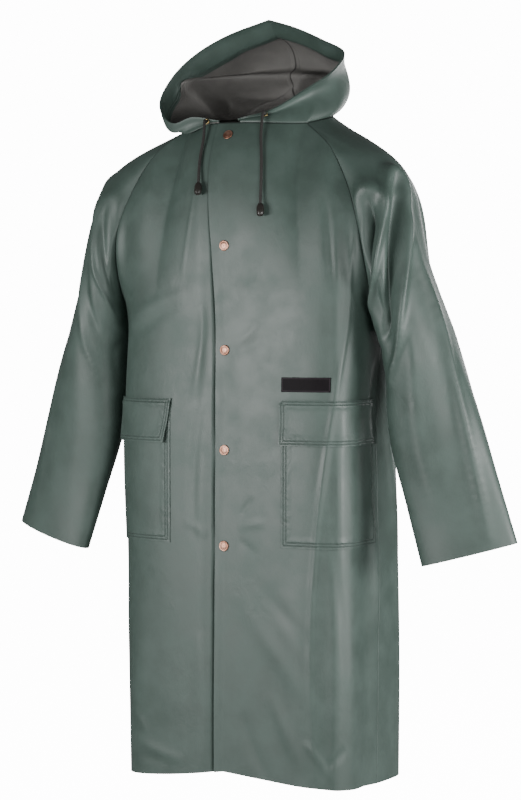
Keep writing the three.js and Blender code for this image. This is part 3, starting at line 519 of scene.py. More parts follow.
def body_panel(share, top):
    """A body grid with its fine folds pressed in along its normals, out at the seams."""
    grid = body_points(share, top, ROWS)
    top_gap = np.linalg.norm(grid - grid[-1:], axis=-1)
    push = strokes(share[None, :], grid[..., 2]) * smooth(top_gap / SEAM_FADE)
    return grid + body_facing(grid) * push[..., None]


# Where a front's cloth ends at the neck, past the line of the snaps
LAP_CORNER = {1: (-42, -87.5, -21), -1: (2, -88.6, -22.0)}
# A snap holds the layers together over this half height. Between the snaps the upper edge
# rises, and the lower layer has a groove beside that edge.
HELD_HALF, EDGE_RISE, GROOVE_DEEP, GROOVE_HALF, GROOVE_OFF = 34, 1.6, 4.5, 3.6, 3.0
# The lower layer drops from this place by the opening, over this width
DROP_FROM, DROP_OVER = -56, 36


def front(side):
    """Outer face of a front: points (rows, columns, 3)."""
    c = np.concatenate([steps(0, 2, 16)[:-1], steps(2, COLUMNS, 6)])
    top, share = columns(NECK_FRONT if side > 0 else NECK_FRONT_RIGHT, RAGLAN_FRONT, side, c, 1)
    lap = OVERLAP if side > 0 else UNDERLAP
    e = np.linspace(1, 0, int(12 * FINE) + 1)[:-1]
    top = np.concatenate([top[0] + (np.array(LAP_CORNER[side]) - top[0]) * e[:, None], top])
    share = np.concatenate([-side * e * lap / HALF_GIRTH, side * share])
    grid = body_panel(share, top)
    held = np.maximum.reduce([np.exp(-(((grid[..., 2] - z) / HELD_HALF) ** 2)) for z in SNAP_Z])
    mm = share * HALF_GIRTH
    if side < 0:
        groove = GROOVE_DEEP * np.exp(-(((mm + OVERLAP + GROOVE_OFF) / GROOVE_HALF) ** 2))
        drop = UNDERLAP_DROP * smooth((mm - DROP_FROM) / DROP_OVER)
        grid[..., 1] += drop + (1 - 0.5 * held) * groove
    else:
        grid[..., 1] -= (1 - held) * EDGE_RISE * smooth((2 - mm) / OVERLAP)
    return grid


def back():
    """Outer face of the back, from the left side seam to the right one."""
    middle_first = {k: v[::-1] for k, v in NECK_BACK.items()}
    halves = [columns(middle_first, RAGLAN_BACK, side, steps(0, COLUMNS, 6), side) for side in (1, -1)]
    (left, left_share), (right, right_share) = halves
    share = np.concatenate([1 - left_share[::-1], right_share[1:] - 1])
    return body_panel(share, np.concatenate([left[::-1], right[1:]]))


def sleeve(side):
    """Outer face of a sleeve: rings (rows, ring, 3) through the sections of its table. Each
    section is a bulged oval, round the sleeve's own line, that starts at the underarm."""
    neck, back_seam = RAGLAN_SPANS, RAGLAN_SPANS + NECK_SIDE_SPANS
    spans = back_seam + RAGLAN_SPANS
    j = steps(0, spans, 5)[:-1]
    seam = follow(
        j,
        (neck, RAGLAN_FRONT, side, 1 - j / RAGLAN_SPANS),
        (back_seam, NECK_SIDE, side, (j - neck) / NECK_SIDE_SPANS),
        (spans, RAGLAN_BACK, side, (j - back_seam) / RAGLAN_SPANS),
    )
    w = j / spans
    a = 2 * math.pi * w
    bulge = np.abs(np.sin(a)) ** 0.9 * np.sign(np.sin(a))
    rings = [seam]
    for x, y, z, across, deep, tilt, turn in rows_of(SLEEVE):
        tilt, turn = math.radians(tilt), math.radians(turn)
        outer = np.array([math.cos(tilt) * math.cos(turn), math.cos(tilt) * math.sin(turn), math.sin(tilt)])
        ahead = np.array([math.sin(turn), -math.cos(turn), 0])
        p = np.array([x, y, z]) - np.outer(np.cos(a) * across, outer) + np.outer(bulge * deep, ahead)
        rings.append(p * [side, 1, 1])
    t = np.linspace(0, 1, int(130 * FINE))
    grid = through(np.stack(rings), t * (len(rings) - 1))
    down = t[:, None]
    push = creases(w[None], down, SLEEVE_CREASES, SLEEVE_SIZE)
    for around, drift, start, end, half, fold in rows_of(SLEEVE_FOLDS):
        s = (down - start) / (end - start)
        off = (w[None] - around - drift * s) / half
        push = push + fold * np.exp(-off * off) * np.sin(math.pi * np.clip(s, 0, 1))
    if side < 0:
        push = CALMER * push
    return grid + sleeve_facing(grid) * (push * smooth(down * 18))[..., None]


HOOD_SPANS = NECK_FRONT_SPANS - 1 + NECK_SIDE_SPANS + NECK_BACK_SPANS
EDGE_ROW, HOOD_ROWS = 2, 11    # rows down to the turned-in edge's own end, and in all
HOOD_FADE = 9    # creases start within one part in this many of the way down
HOOD_PUSH = np.array([0, -1, 0.15])    # the way in which they are pushed


def hood(side):
    """Outer face of half of the hood, from its edge round the face (row 0) to the neck seam,
    and the places of its columns and rows. Each column is a cubic along its table's ways."""
    j = steps(0, HOOD_SPANS, 7)
    rim = evenly(RIM_LEFT if side > 0 else RIM_RIGHT, j / HOOD_SPANS)
    ahead, behind = NECK_FRONT_SPANS - 1, NECK_FRONT_SPANS - 1 + NECK_SIDE_SPANS
    neck = follow(
        j,
        (ahead, NECK_FRONT if side > 0 else NECK_FRONT_RIGHT, 1, (j + 1) / NECK_FRONT_SPANS),
        (behind, NECK_SIDE, side, (j - ahead) / NECK_SIDE_SPANS),
        (HOOD_SPANS, NECK_BACK, side, (j - behind) / NECK_BACK_SPANS),
    )
    tab = HOOD_LEFT if side > 0 else HOOD_RIGHT
    way = {n: read(tab, "along", n, j / HOOD_SPANS) for n in tab}
    leave = np.stack([side * way["out"], way["back"], way["up"]], -1)
    arrive = np.stack([-side * way["inward"], -way["forward"], -way["down"]], -1)
    t = np.linspace(0, 1, 201)[:, None, None]
    line = hermite(t, rim[None], leave[None], neck[None], arrive[None])
    run = lengths(line)
    edge = np.minimum(FACING_WIDTH, run[-1] * 0.4)
    i = np.linspace(EDGE_ROW, HOOD_ROWS, int(72 * FINE) + 1)[1:]
    i = np.concatenate([np.linspace(0, EDGE_ROW, int(10 * FINE) + 1), i])[:, None]
    past_edge = (i - EDGE_ROW) / (HOOD_ROWS - EDGE_ROW)
    want = np.where(i <= EDGE_ROW, edge * i / EDGE_ROW, edge + (run[-1] - edge) * past_edge)
    grid = np.stack([at_lengths(line[:, k], run[:, k], want[:, k]) for k in range(len(j))], 1)
    along, down = (j / HOOD_SPANS)[None, :], i / HOOD_ROWS
    fade = smooth(down * HOOD_FADE) * smooth((1 - down) * HOOD_FADE)
    push = creases(along, down, HOOD_CREASES[side], HOOD_SIZE) * fade
    ridge = np.exp(-(((1 - along) * HOOD_SIZE[0] / SEAM_RIDGE_HALF) ** 2))
    push = push + SEAM_RIDGE * ridge * smooth((down - SEAM_RIDGE_FROM) * HOOD_FADE)
    grid = grid + push[..., None] * HOOD_PUSH
    if side < 0:
        f = HOOD_SAG
        off_along, off_down = (along - f["along"]) / f["half_along"], (down - f["down"]) / f["half_down"]
        bell = np.exp(-(off_along**2) - off_down**2) * smooth(down * 12)
        grid = grid + bell[..., None] * np.array([0, -f["out"], -f["drop"]])
    f = HOOD_DIP
    dip = smooth(down / f["in"]) * (1 - smooth((down - f["in"]) / f["back"]))
    grid[..., 2] -= f["drop"] * dip * smooth((along - f["from"]) / f["over"])
    grid[:, -1, 0] = 0
    return grid, j, i[:, 0]


PANEL = {1: front(1), -1: front(-1)}
FACING = {side: body_facing(grid) for side, grid in PANEL.items()}
HOOD = {side: hood(side) for side in (1, -1)}
# The halves meet along the middle: each one's last columns move to the mean of both.
MIDDLE = {side: HOOD[side][0][:, -1].copy() for side in (1, -1)}
for side in (1, -1):
    near_middle = smooth((HOOD[side][1] - 12) / 3)[None, :, None]
    HOOD[side][0][:] += (MIDDLE[-side] - MIDDLE[side])[:, None] * near_middle / 2
HOOD_MIDDLE = np.array([0, 20, 40.0])
HOOD_FACING = {side: facing_of(HOOD[side][0], HOOD[side][0] - HOOD_MIDDLE) for side in (1, -1)}

# Materials


class Graph:
    """A node tree and short ways to add to it. Numbers given for inputs are set on them,
    and sockets given for inputs are joined to them."""

    def __init__(self, tree):
        self.tree = tree

    def put(self, socket, value):
        if isinstance(value, bpy.types.NodeSocket):
            self.tree.links.new(value, socket)
        else:
            socket.default_value = value

    def node(self, kind, values=None, **settings):
        n = self.tree.nodes.new("ShaderNode" + kind)
        for key, value in settings.items():
            setattr(n, key, value)
        for key, value in (values or {}).items():
            self.put(n.inputs[key], value)
        return n

    def math(self, operation, *values):
        return self.node("Math", dict(enumerate(values)), operation=operation).outputs[0]

    def times(self, a, b):
        return self.math("MULTIPLY", a, b)

    def off(self, value, middle):
        """Distance of a value from a middle one."""
        return self.math("ABSOLUTE", self.math("SUBTRACT", value, middle))

    def noise(self, vector, scale, detail=2.0, rough=0.5, distortion=0.0):
        values = {"Vector": vector, "Scale": scale, "Detail": detail, "Roughness": rough,
                  "Distortion": distortion}
        return self.node("TexNoise", values).outputs["Fac"]

    def stretch(self, vector, scale):
        values = {"Vector": vector, "Scale": scale}
        return self.node("Mapping", values, vector_type="POINT").outputs[0]

    def mix(self, share, a, b):
        return self.node("Mix", {0: share, 6: a, 7: b}, data_type="RGBA").outputs[2]

    def ramp(self, value, low, high, to_low=0.0, to_high=1.0):
        values = {"Value": value, "From Min": low, "From Max": high, "To Min": to_low, "To Max": to_high}
        return self.node("MapRange", values, interpolation_type="SMOOTHSTEP").outputs["Result"]

    def place(self):
        return self.node("TexCoord").outputs["Object"]

    def mark(self, name):
        return self.node("Attribute", attribute_name=name).outputs["Fac"]

    def seen(self):
        """1 where the camera looks, 0 for the light that lights the coat."""
        return self.node("LightPath").outputs["Is Camera Ray"]

    def flat(self):
        """The place on the flat cloth, and its x, y and z apart."""
        flat = self.node("UVMap", uv_map="flat").outputs[0]
        return flat, self.node("SeparateXYZ", {0: flat}).outputs


def linear(red, green, blue):
    """A colour given as it shows on a screen, 0 to 255, as light."""
    channel = lambda c: c / 12.92 if c <= 0.04045 else ((c + 0.055) / 1.055) ** 2.4
    return (*(channel(c / 255) for c in (red, green, blue)), 1.0)


def crinkle(g):
    """Height of a coated cloth, in metres, and its wear: low broad waves, soft creases that
    run in all directions and a fine grain."""
    place = g.place()
    broad = g.noise(g.stretch(place, (1, 1, 0.55)), 11.0, 2.0, 0.45)
    fine = g.noise(g.stretch(place, (1, 1, 0.7)), 42.0, 3.0, 0.55, 0.8)
    where = g.ramp(g.noise(place, 7.0, 1.0), 0.4, 0.75)
    height = g.times(broad, 0.0022)
    height = g.math("MULTIPLY_ADD", g.times(fine, where), 0.0009, height)
    height = g.math("MULTIPLY_ADD", g.noise(place, 2600.0, 1.0), 0.00002, height)
    return height, g.noise(place, 18.0, 4.0, 0.6)


# Two rows of machine stitches, by their distance in millimetres from a sewn edge
STITCH_ROWS, STITCHES_A_METRE = (5.0, 10.0), 300.0


def stitches(g):
    """Mask of the stitches' thread, and the height of groove, stitches and puckers."""
    sewn = g.mark("sewn")
    flat, xyz = g.flat()
    near = g.math("MINIMUM", *(g.off(sewn, row) for row in STITCH_ROWS))
    run = g.math("FRACT", g.times(g.math("ADD", xyz[0], xyz[1]), STITCHES_A_METRE))
    along = g.ramp(g.off(run, 0.5), 0.3, 0.42, 1.0, 0.0)
    thread = g.times(g.ramp(near, 0.35, 0.6, 1.0, 0.0), along)
    band = g.ramp(g.off(sewn, 7.0), 4.0, 16.0, 1.0, 0.0)
    height = g.times(g.times(band, g.noise(flat, 95.0, 1.0)), 0.0012)
    height = g.math("MULTIPLY_ADD", g.ramp(near, 0.3, 1.8, 1.0, 0.0), -0.0005, height)
    return thread, g.math("MULTIPLY_ADD", thread, 0.0003, height)


def material(name):
    """A new material: its graph and its surface shader."""
    m = bpy.data.materials.new(name)
    m.use_nodes = True
    return m, Graph(m.node_tree), m.node_tree.nodes["Principled BSDF"]


def finish_of(g, surface, colour, rough, height=None, **values):
    """Set a surface's colour, roughness, height in metres and other named inputs."""
    if height is not None:
        bump = g.node("Bump", {"Height": height, "Strength": 1.0, "Distance": 1.0})
        values["Normal"] = bump.outputs[0]
    for key, value in {"Base_Color": colour, "Roughness": rough, **values}.items():
        g.put(surface.inputs[key.replace("_", " ")], value)


def coated_cloth():
    """Outside of the cloth: a soft gloss, stitches by sewn edges and a dark line at seams."""
    m, g, surface = material("coated_cloth")
    waves, wear = crinkle(g)
    thread, stitched = stitches(g)
    seam = g.mark("seam")
    colour = g.mix(g.ramp(wear, 0.3, 0.75), linear(53, 67, 61), linear(61, 76, 70))
    colour = g.mix(g.times(thread, 0.75), colour, linear(28, 36, 33))
    colour = g.mix(g.ramp(seam, 0.3, 1.6, 0.7, 0.0), colour, linear(26, 33, 30))
    height = g.ramp(seam, 0.2, 3.0, 1.0, 0.0)
    height = g.math("MULTIPLY_ADD", height, -0.0009, g.math("ADD", waves, stitched))
    finish_of(g, surface, colour, g.ramp(wear, 0.3, 0.8, 0.47, 0.6), height, Specular_IOR_Level=0.5)
    return m


KNIT_WAVES = (3000.0, 3600.0)    # across and down, in radians a metre


def knit_backing():
    """Inside of the cloth: a fine knit, rows of small loops, and the seams' allowances."""
    m, g, surface = material("knit_backing")
    xyz = g.flat()[1]
    waves = [g.math("SINE", g.times(xyz[k], often)) for k, often in enumerate(KNIT_WAVES)]
    loops = g.times(*(g.math("ABSOLUTE", wave) for wave in waves))
    place, seam = g.place(), g.mark("seam")
    tone = g.math("MULTIPLY_ADD", loops, 0.35, g.times(g.noise(place, 22.0, 3.0), 0.6))
    colour = g.mix(tone, linear(78, 77, 74), linear(122, 120, 117))
    colour = g.mix(g.ramp(seam, 0.8, 2.2, 0.75, 0.0), colour, linear(34, 33, 31))
    height = g.times(loops, 0.00025)
    height = g.math("MULTIPLY_ADD", g.ramp(seam, 6.0, 9.0, 1.0, 0.0), 0.0009, height)
    finish_of(g, surface, colour, 0.9, g.math("MULTIPLY_ADD", g.noise(place, 14.0, 2.0), 0.0016, height))
    return m


def dark_patch():
    """The bare patch: a dark satin with a thin light rim."""
    m, g, surface = material("dark_patch")
    place = g.place()
    rim = g.ramp(g.off(g.mark("sewn"), 2.0), 0.3, 0.7, 1.0, 0.0)
    colour = g.mix(g.noise(place, 60.0, 2.0), linear(10, 7, 9), linear(17, 13, 16))
    colour = g.mix(g.times(rim, 0.7), colour, linear(52, 45, 50))
    height = g.times(g.noise(place, 1500.0), 0.00003)
    finish_of(g, surface, colour, 0.6, height, Specular_IOR_Level=0.1)
    return m


def two_tone(name, dark, bright, rough, scale, lift, metal=False):
    """A material that wavers between two tones, in clearer patches where it is a metal."""
    m, g, surface = material(name)
    tone = g.noise(g.place(), scale, 3.0, 0.6) if metal else g.noise(g.place(), scale)
    tone = g.ramp(tone, 0.35, 0.65) if metal else tone
    height = g.times(tone, lift)
    finish_of(g, surface, g.mix(tone, dark, bright), rough, height, Metallic=float(metal))
    return m


CLOTH, KNIT, PATCH = coated_cloth(), knit_backing(), dark_patch()
COPPER = two_tone("snap_metal", linear(132, 94, 78), linear(180, 140, 122), 0.48, 60.0, 8e-5, True)
BRASS = two_tone("eyelet_metal", linear(146, 124, 84), linear(196, 176, 130), 0.34, 240.0, 8e-5, True)
BRAID = two_tone("cord", linear(13, 12, 11), linear(42, 39, 36), 0.7, 900.0, 3e-4)
PLASTIC = two_tone("cord_end_plastic", linear(22, 20, 18), linear(40, 36, 33), 0.32, 300.0, 4e-5)

# Building pieces


def add(name, data):
    """A new object in the scene."""
    obj = bpy.data.objects.new(name, data)
    bpy.context.scene.collection.objects.link(obj)
    return obj


def mesh_piece(name, points, faces, slots, face_slots=None, flat=None, marks=None, sharp=None):
    """A smooth mesh from points in millimetres. flat holds the corners' places on the flat
    cloth, marks the points' named values, and sharp the points whose edges stay crisp."""
    mesh = bpy.data.meshes.new(name)
    mesh.from_pydata((points * MM).tolist(), [], faces)
    for m in slots:
        mesh.materials.append(m)
    if face_slots is not None:
        mesh.polygons.foreach_set("material_index", face_slots)
    mesh.polygons.foreach_set("use_smooth", [True] * len(mesh.polygons))
    if flat is not None:
        mesh.uv_layers.new(name="flat").data.foreach_set("uv", flat.ravel())
    for label, values in (marks or {}).items():
        mesh.attributes.new(label, "FLOAT", "POINT").data.foreach_set("value", values)
    if sharp is not None:
        ends = np.zeros(len(mesh.edges) * 2, int)
        mesh.edges.foreach_get("vertices", ends)
        a, b = sharp[ends].reshape(-1, 2).T
        mesh.attributes.new("sharp_edge", "BOOLEAN", "EDGE").data.foreach_set("value", (a == b) & (a > 0))
    return add(name, mesh)


def pairs(n, m):
    """Every pair of whole numbers below n and m, in two lists."""
    i, j = np.meshgrid(np.arange(n), np.arange(m), indexing="ij")
    return i.ravel(), j.ravel()


NO_EDGE = 60.0    # distance in millimetres from a mark's edge that is as good as none


def sheet_piece(name, grid, facing, thick=SHELL, closed=False, slots=None, **marks):
    """A thin closed shell whose outer face is the grid and whose inner face lies `thick`
    inside it. It has the coated side out and the knit side in. marks hold each point's
    distance to a stitched edge (sewn) and to a joined one (seam)."""
    rows, cols = grid.shape[:2]
    ring = np.concatenate([grid, grid[:, :1]], 1) if closed else grid
    u = lengths(ring, 1)
    flat = np.stack([u - u.mean(1, keepdims=True), lengths(ring)], -1) * MM
    faces, flats, index = [], [], []

    def quads(slot, *corners):
        """Faces by their corners' layers (0 outside, 1 inside), rows and columns."""
        corners = [np.broadcast_arrays(*corner) for corner in corners]
        faces.append(np.stack([(layer * rows + r) * cols + c % cols for layer, r, c in corners], 1))
        flats.append(np.stack([flat[r, c] for _, r, c in corners], 1))
        index.extend([slot] * len(faces[-1]))

    i, j = pairs(rows - 1, cols if closed else cols - 1)
    quads(0, (0, i, j), (0, i, j + 1), (0, i + 1, j + 1), (0, i + 1, j))
    quads(1, (1, i, j), (1, i + 1, j), (1, i + 1, j + 1), (1, i, j + 1))
    e, last = np.arange(cols if closed else cols - 1), rows - 1
    quads(0, (0, 0, e), (1, 0, e), (1, 0, e + 1), (0, 0, e + 1))
    quads(0, (0, last, e), (0, last, e + 1), (1, last, e + 1), (1, last, e))
    rim = np.zeros((rows, cols), int)
    rim[0], rim[-1] = 1, 1
    if not closed:
        s, far = np.arange(rows - 1), cols - 1
        quads(0, (0, s, 0), (0, s + 1, 0), (1, s + 1, 0), (1, s, 0))
        quads(0, (0, s, far), (1, s, far), (1, s + 1, far), (0, s + 1, far))
        rim[:, 0], rim[:, -1] = 1, 1
    faces, flats = np.concatenate(faces), np.concatenate(flats)
    points = np.concatenate([grid.reshape(-1, 3), (grid - facing * thick).reshape(-1, 3)])
    a, b, c = (points[faces[: len(i), k]] for k in range(3))
    if np.sum(np.cross(b - a, c - a) * facing[i, j % cols]) < 0:
        faces, flats = faces[:, ::-1], flats[:, ::-1]
    far_off = np.full(rows * cols, NO_EDGE)
    marks = {label: np.tile(marks.get(label, far_off).ravel(), 2) for label in ("sewn", "seam")}
    sharp = np.concatenate([rim.ravel(), rim.ravel() * 2])
    return mesh_piece(name, points, faces.tolist(), slots or (CLOTH, KNIT), index, flats, marks, sharp)


def keep(obj):
    """Ride the coat, in place of the solid that the piece is named after."""
    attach(obj, "root")
    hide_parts(obj.name.removesuffix("_piece"))


def through_place(side, x, z):
    """Point of a front at an x and a height, from the nearest of its grid, and its facing."""
    grid = PANEL[side]
    gap = (grid[..., 0] - x) ** 2 + (grid[..., 2] - z) ** 2
    nearest = np.unravel_index(np.argmin(gap), gap.shape)
    n, p = FACING[side][nearest], grid[nearest]
    return np.array([x, p[1] - (n[0] * (x - p[0]) + n[2] * (z - p[2])) / n[1], z]), n


# The camera stands level, round to the wearer's left
VIEW_TURN, VIEW_DISTANCE, VIEW_HEIGHT = math.radians(27), 4.0, -0.357
view = bpy.data.cameras.new("camera")
view.lens, view.sensor_width, view.shift_x, view.shift_y = 101.7, 36.0, -0.003, -0.1054
camera = add("camera", view)
camera.location = math.sin(VIEW_TURN) * VIEW_DISTANCE, -math.cos(VIEW_TURN) * VIEW_DISTANCE, VIEW_HEIGHT
camera.rotation_euler = (math.radians(90), 0, VIEW_TURN)
bpy.context.scene.camera = camera

# Cords: each leaves its eyelet and hangs over the front to a bead. x, z is a place on the
# front and off the distance from the cloth.
CORD_WIDE, CORD_END_WIDE, CORD_END_HIGH = 5.0, 13.0, 22.0
EYELET_OUTER, EYELET_INNER, EYELET_HIGH, EYELET_LIFT = 11.0, 5.0, 1.6, 1.4
EYELET_PLACE = {1: (1.6, 1.7), -1: (1.0, 0.9)}    # row and column of the hood's half
# Radius and height of a bead, as shares of its own. AXLE is the least radius in millimetres.
CORD_END_PROFILE = (
    (0, 0), (0.62, 0), (0.86, 0.14), (1, 0.4), (1, 0.72),
    (0.84, 0.94), (0.5, 1), (0.3, 1), (0.26, 0.8), (0, 0.8),
)
AXLE = 0.02
CORD_ROUTE = {
    1: table("x z off", (48, -42, 7), (61, -100, 5), (69, -168, 9)),
    -1: table("x z off", (-58, -50, 7), (-57, -90, 5), (-52, -130, 9)),
}


def round_rings(middles, axes, aside, radii, sides):
    """Rings (rows, sides, 3) round middles, across axes, with a radius for each point."""
    side = unit(np.cross(axes, aside))
    other = np.cross(axes, side)
    a = np.linspace(0, 2 * math.pi, sides, endpoint=False)[:, None]
    return middles[:, None] + radii[..., None] * (np.cos(a) * side[:, None] + np.sin(a) * other[:, None])


def round_faces(rows, sides, wraps):
    """Faces between rings of points, and from the last ring to the first where it wraps."""
    i, j = pairs(rows if wraps else rows - 1, sides)
    up, right = (i + 1) % rows, (j + 1) % sides
    return np.stack([i * sides + j, i * sides + right, up * sides + right, up * sides + j], 1).tolist()


def turned(name, profile, place, axis, slot):
    """A profile of radius and height, turned round an axis at a place."""
    sides = 48
    axis = np.tile(unit(axis), (len(profile), 1))
    radii = np.repeat(profile[:, :1], sides, 1)
    rings = round_rings(place + profile[:, 1:] * axis, axis, [0.3, 0.2, 0.93], radii, sides)
    return mesh_piece(name, rings.reshape(-1, 3), round_faces(len(profile), sides, True), [slot])


def rounded(corners, radius, parts=3):
    """A closed profile with its corners rounded off by short curves."""
    c = np.asarray(corners, float)
    out = []
    for k, b in enumerate(c):
        before, after = c[k - 1] - b, c[(k + 1) % len(c)] - b
        long_before, long_after = np.linalg.norm(before), np.linalg.norm(after)
        cut = min(radius, long_before / 2.2, long_after / 2.2)
        p, q = b + before / long_before * cut, b + after / long_after * cut
        t = np.linspace(0, 1, parts + 1)[:, None]
        out.append((1 - t) ** 2 * p + 2 * t * (1 - t) * b + t * t * q)
    return np.concatenate(out)


def braid(name, route, wide):
    """A round braided cord along a route, and its middle line: the radius rises and falls
    where the strands cross, r = wide / 2 * (0.96 + 0.08 * sin(4a + kz) * sin(4a - kz))."""
    fine = through(route, np.linspace(0, len(route) - 1, 400))
    run = lengths(fine)
    count, sides = int(run[-1] / (0.7 / FINE)), 32
    want = np.linspace(0, run[-1], count)
    line = at_lengths(fine, run, want)
    a = 4 * np.linspace(0, 2 * math.pi, sides, endpoint=False)[None]
    along = 2 * math.pi / 6.5 * want[:, None]
    radius = wide / 2 * (0.96 + 0.08 * np.sin(a + along) * np.sin(a - along))
    rings = round_rings(line, unit(np.gradient(line, axis=0)), [0.94, 0.1, 0.3], radius, sides)
    points = np.concatenate([rings.reshape(-1, 3), line[:1], line[-1:]])
    e = np.arange(sides)
    f = (e + 1) % sides
    first, last = 0 * e + count * sides, 0 * e + count * sides + 1
    ends = [np.stack([f, e, first], 1), np.stack([e + (count - 1) * sides, f + (count - 1) * sides, last], 1)]
    faces = round_faces(count, sides, False) + np.concatenate(ends).tolist()
    return mesh_piece(name, points, faces, [BRAID]), line


for side, label in SIDES:
    grid, j, i = HOOD[side]
    row, col = EYELET_PLACE[side]
    place = np.argmin(np.abs(i - row)), np.argmin(np.abs(j - col))
    spot, way = grid[place], HOOD_FACING[side][place]
    outer, inner, high = EYELET_OUTER / 2, EYELET_INNER / 2, EYELET_HIGH
    ring = [(inner, 0), (outer, 0), (outer, 0.5), (inner * 0.4 + outer * 0.6, high)]
    ring += [(inner + 0.5, 1.1), (inner, 0.7)]
    ring = turned(f"eyelet_{label}_piece", rounded(ring, 0.3), spot + way * EYELET_LIFT, way, BRASS)
    keep(ring)
    start = spot + way * (EYELET_LIFT + EYELET_HIGH + 0.3)
    route = [start, start + way * CORD_WIDE]
    for x, z, off in rows_of(CORD_ROUTE[side]):
        p, n = through_place(side, x, z)
        route.append(p + n * off)
    cord, line = braid(f"drawcord_{label}_piece", np.array(route), CORD_WIDE)
    keep(cord)
    down = unit(route[-1] - route[-2])
    r, h = CORD_END_WIDE / 2, CORD_END_HIGH
    profile = [(max(AXLE, r * x), h * y) for x, y in CORD_END_PROFILE]
    place = route[-1] + down * 0.3
    bead = turned(f"cord_end_{label}_piece", rounded(profile, 1.4, 4), place, down, PLASTIC)
    keep(bead)
    round(float(lengths(line)[-1]) * MM, 3)

# Cloth pieces


def edge_gap(grid, *sides):
    """Distance in millimetres from each point to the nearest of the named edges: low and
    high rows, first and last columns."""
    u, v = lengths(grid, 1), lengths(grid)
    gaps = {"low": v, "high": v[-1:] - v, "first": u, "last": u[:, -1:] - u}
    return np.minimum.reduce([np.clip(gaps[s], 0, NO_EDGE) for s in sides])


SIDE_SEAM_FAINT = 1.0    # the side seams' line shows less by this many millimetres
for side, label in SIDES:
    grid = PANEL[side]
    joined = np.minimum(edge_gap(grid, "high"), edge_gap(grid, "last") + SIDE_SEAM_FAINT)
    piece = sheet_piece(f"front_{label}_piece", grid, FACING[side], seam=joined)
    keep(piece)
grid = back()
joined = np.minimum(edge_gap(grid, "high"), edge_gap(grid, "first", "last") + SIDE_SEAM_FAINT)
piece = sheet_piece("back_piece", grid, body_facing(grid), seam=joined)
keep(piece)

EDGE_THICK, EDGE_IN = 0.9, 0.6    # the turned-in edge, and its gap to the hood's inside
for side, label in SIDES:
    grid = sleeve(side)
    joined = edge_gap(grid, "low")
    piece = sheet_piece(f"sleeve_{label}_piece", grid, sleeve_facing(grid), closed=True, seam=joined)
    keep(piece)
    grid, j, i = HOOD[side]
    face = HOOD_FACING[side]
    piece = sheet_piece(f"hood_{label}_piece", grid, face, seam=edge_gap(grid, "high", "last"))
    keep(piece)
    band = i <= EDGE_ROW
    grid = grid[band] - face[band] * (SHELL + EDGE_IN)
    sewn = edge_gap(grid, "high") + 2
    piece = sheet_piece(
        f"hood_edge_{label}_piece", grid, face[band], EDGE_THICK, slots=(CLOTH, CLOTH), sewn=sewn
    )
    keep(piece)


def laid(name, side, area, thick, lift, sewn, slant=0.0, slots=None):
    """A piece laid on a front: lift(across, down) is its height over the front, both from 0
    to 1, across from the edge by the opening and down from the top. slant moves the top of
    that edge's lower end across."""
    width, high = area["end"] - area["start"], area["top"] - area["bottom"]
    a, d = np.meshgrid(steps(0, 1, width / 3), steps(0, 1, high / 3))
    share = side * (area["start"] + slant * d * (1 - a) + width * a) / HALF_GIRTH
    z = area["top"] - high * d
    out = ring_out(z, share)
    over = body_push(z, share) + strokes(share, z) + lift(a, d) + thick
    grid = on_ring(z, share) + out * over[..., None]
    return sheet_piece(name, grid, facing_of(grid, out), thick, slots=slots, sewn=sewn(grid))


def pocket_lift(a, d):
    return 0.6 + 2.2 * np.sin(math.pi * a) ** 0.5 * np.sin(math.pi * np.clip(d * 0.9, 0, 1))


def flap_lift(a, d):
    """The flap stands off more towards its lower edge and its corner by the opening."""
    ridge = 1.2 * np.exp(-(((d - 0.13) / 0.03) ** 2))
    corner = 2.4 * (1 - a) ** 3 * smooth((d - 0.5) / 0.5)
    return 2.2 + 1.4 * smooth(d * 5) + ridge + 3.4 * smooth((d - 0.3) / 0.7) + corner


def pocket_sewn(grid):
    return edge_gap(grid, "high", "first", "last")


def flap_sewn(grid):
    return np.minimum(pocket_sewn(grid) + 1, edge_gap(grid, "low") + 3)


FLAP_SLANT = {1: 2.0, -1: 12.0}
for side, label in SIDES:
    pocket = laid(f"pocket_{label}_piece", side, POCKET, 1.0, pocket_lift, pocket_sewn)
    keep(pocket)
    flap = laid(f"pocket_flap_{label}_piece", side, FLAP, 1.2, flap_lift, flap_sewn, FLAP_SLANT[side])
    keep(flap)

patch = laid(
    "chest_patch_piece", 1, LABEL, 0.9, lambda a, d: 0.3 + 0 * a,
    lambda grid: edge_gap(grid, "low", "high", "first", "last"), slots=(PATCH, PATCH),
)
keep(patch)

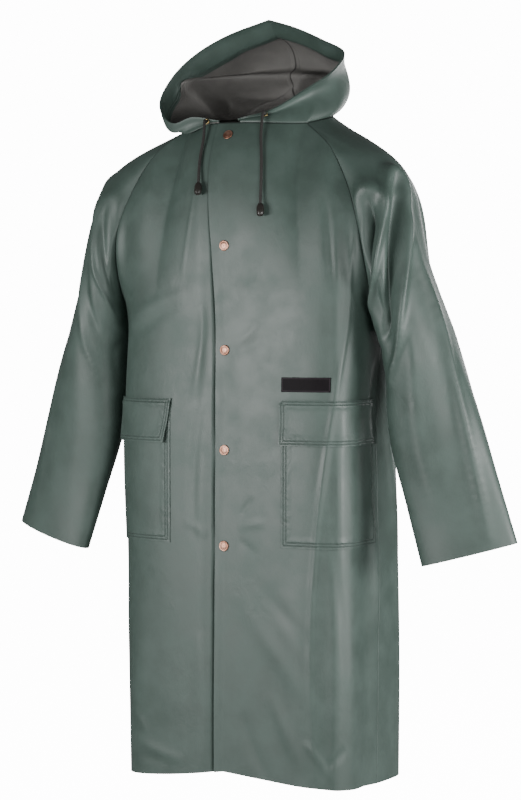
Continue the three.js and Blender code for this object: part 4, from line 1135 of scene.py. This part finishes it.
SNAP_PROFILE = [
    (AXLE, 0), (7.8, 0), (9.0, 0.5), (9.0, 1.1), (8.2, 2.0),
    (7.3, 1.75), (6.4, 1.75), (4.6, 2.3), (2.4, 2.5), (AXLE, 2.5),
]
for k, z in enumerate(SNAP_Z):
    x = float(read(SNAP_LINE, "z", "x", z))
    p, n = through_place(1, x, z)
    cap = turned(f"snap_{k + 1}_piece", rounded(SNAP_PROFILE, 0.6), p + n * 0.5, n, COPPER)
    keep(cap)

# Floor, light and backdrop
FLOOR_Z, FLOOR_HALF = -1450.0, 9000.0
CAMERA_WHITE, WORLD_LIGHT = 14.0, 0.16    # light of the backdrop as seen, and as it lights
pale, g, shader = material("pale_floor")
finish_of(g, shader, (0.5, 0.5, 0.5, 1), 0.9, Emission_Color=(1, 1, 1, 1))
g.put(shader.inputs["Emission Strength"], g.times(g.seen(), CAMERA_WHITE))
square = np.array([(-1, -1, 0), (1, -1, 0), (1, 1, 0), (-1, 1, 0)]) * FLOOR_HALF + [0, 0, FLOOR_Z]
floor = mesh_piece("floor", square, [(0, 1, 2, 3)], [pale])


def lamp(name, right, toward, up, wide, high, power):
    """A soft oblong light, placed in metres to the camera's right and towards it, that
    points at the middle of the coat."""
    data = bpy.data.lights.new(name, "AREA")
    data.shape, data.size, data.size_y, data.energy = "RECTANGLE", wide, high, power
    c, s = math.cos(VIEW_TURN), math.sin(VIEW_TURN)
    obj = add(name, data)
    obj.location = place = np.array([right * c + toward * s, right * s - toward * c, up])
    x, y, z = np.array([0, 0, -0.5]) - place
    obj.rotation_euler = (math.atan2(math.hypot(x, y), -z), 0, math.atan2(y, x) - math.pi / 2)


lamp("key", -1.9, 1.7, -0.4, 1.2, 0.5, 66)
lamp("near", 0.9, 2.4, -0.42, 0.9, 0.6, 32)
lamp("left", -2.7, 0.3, -0.7, 1.0, 0.5, 2)
lamp("right", 2.2, 1.1, -0.4, 1.0, 0.8, 72)
lamp("behind", 1.2, -2.4, 0.0, 1.2, 1.2, 24)
world = bpy.data.worlds.new("world")
world.use_nodes = True
g, sky = Graph(world.node_tree), world.node_tree.nodes["Background"].inputs
g.put(sky[0], (1, 1, 1, 1))
g.put(sky[1], g.ramp(g.seen(), 0.0, 1.0, WORLD_LIGHT, CAMERA_WHITE))
bpy.context.scene.world = world

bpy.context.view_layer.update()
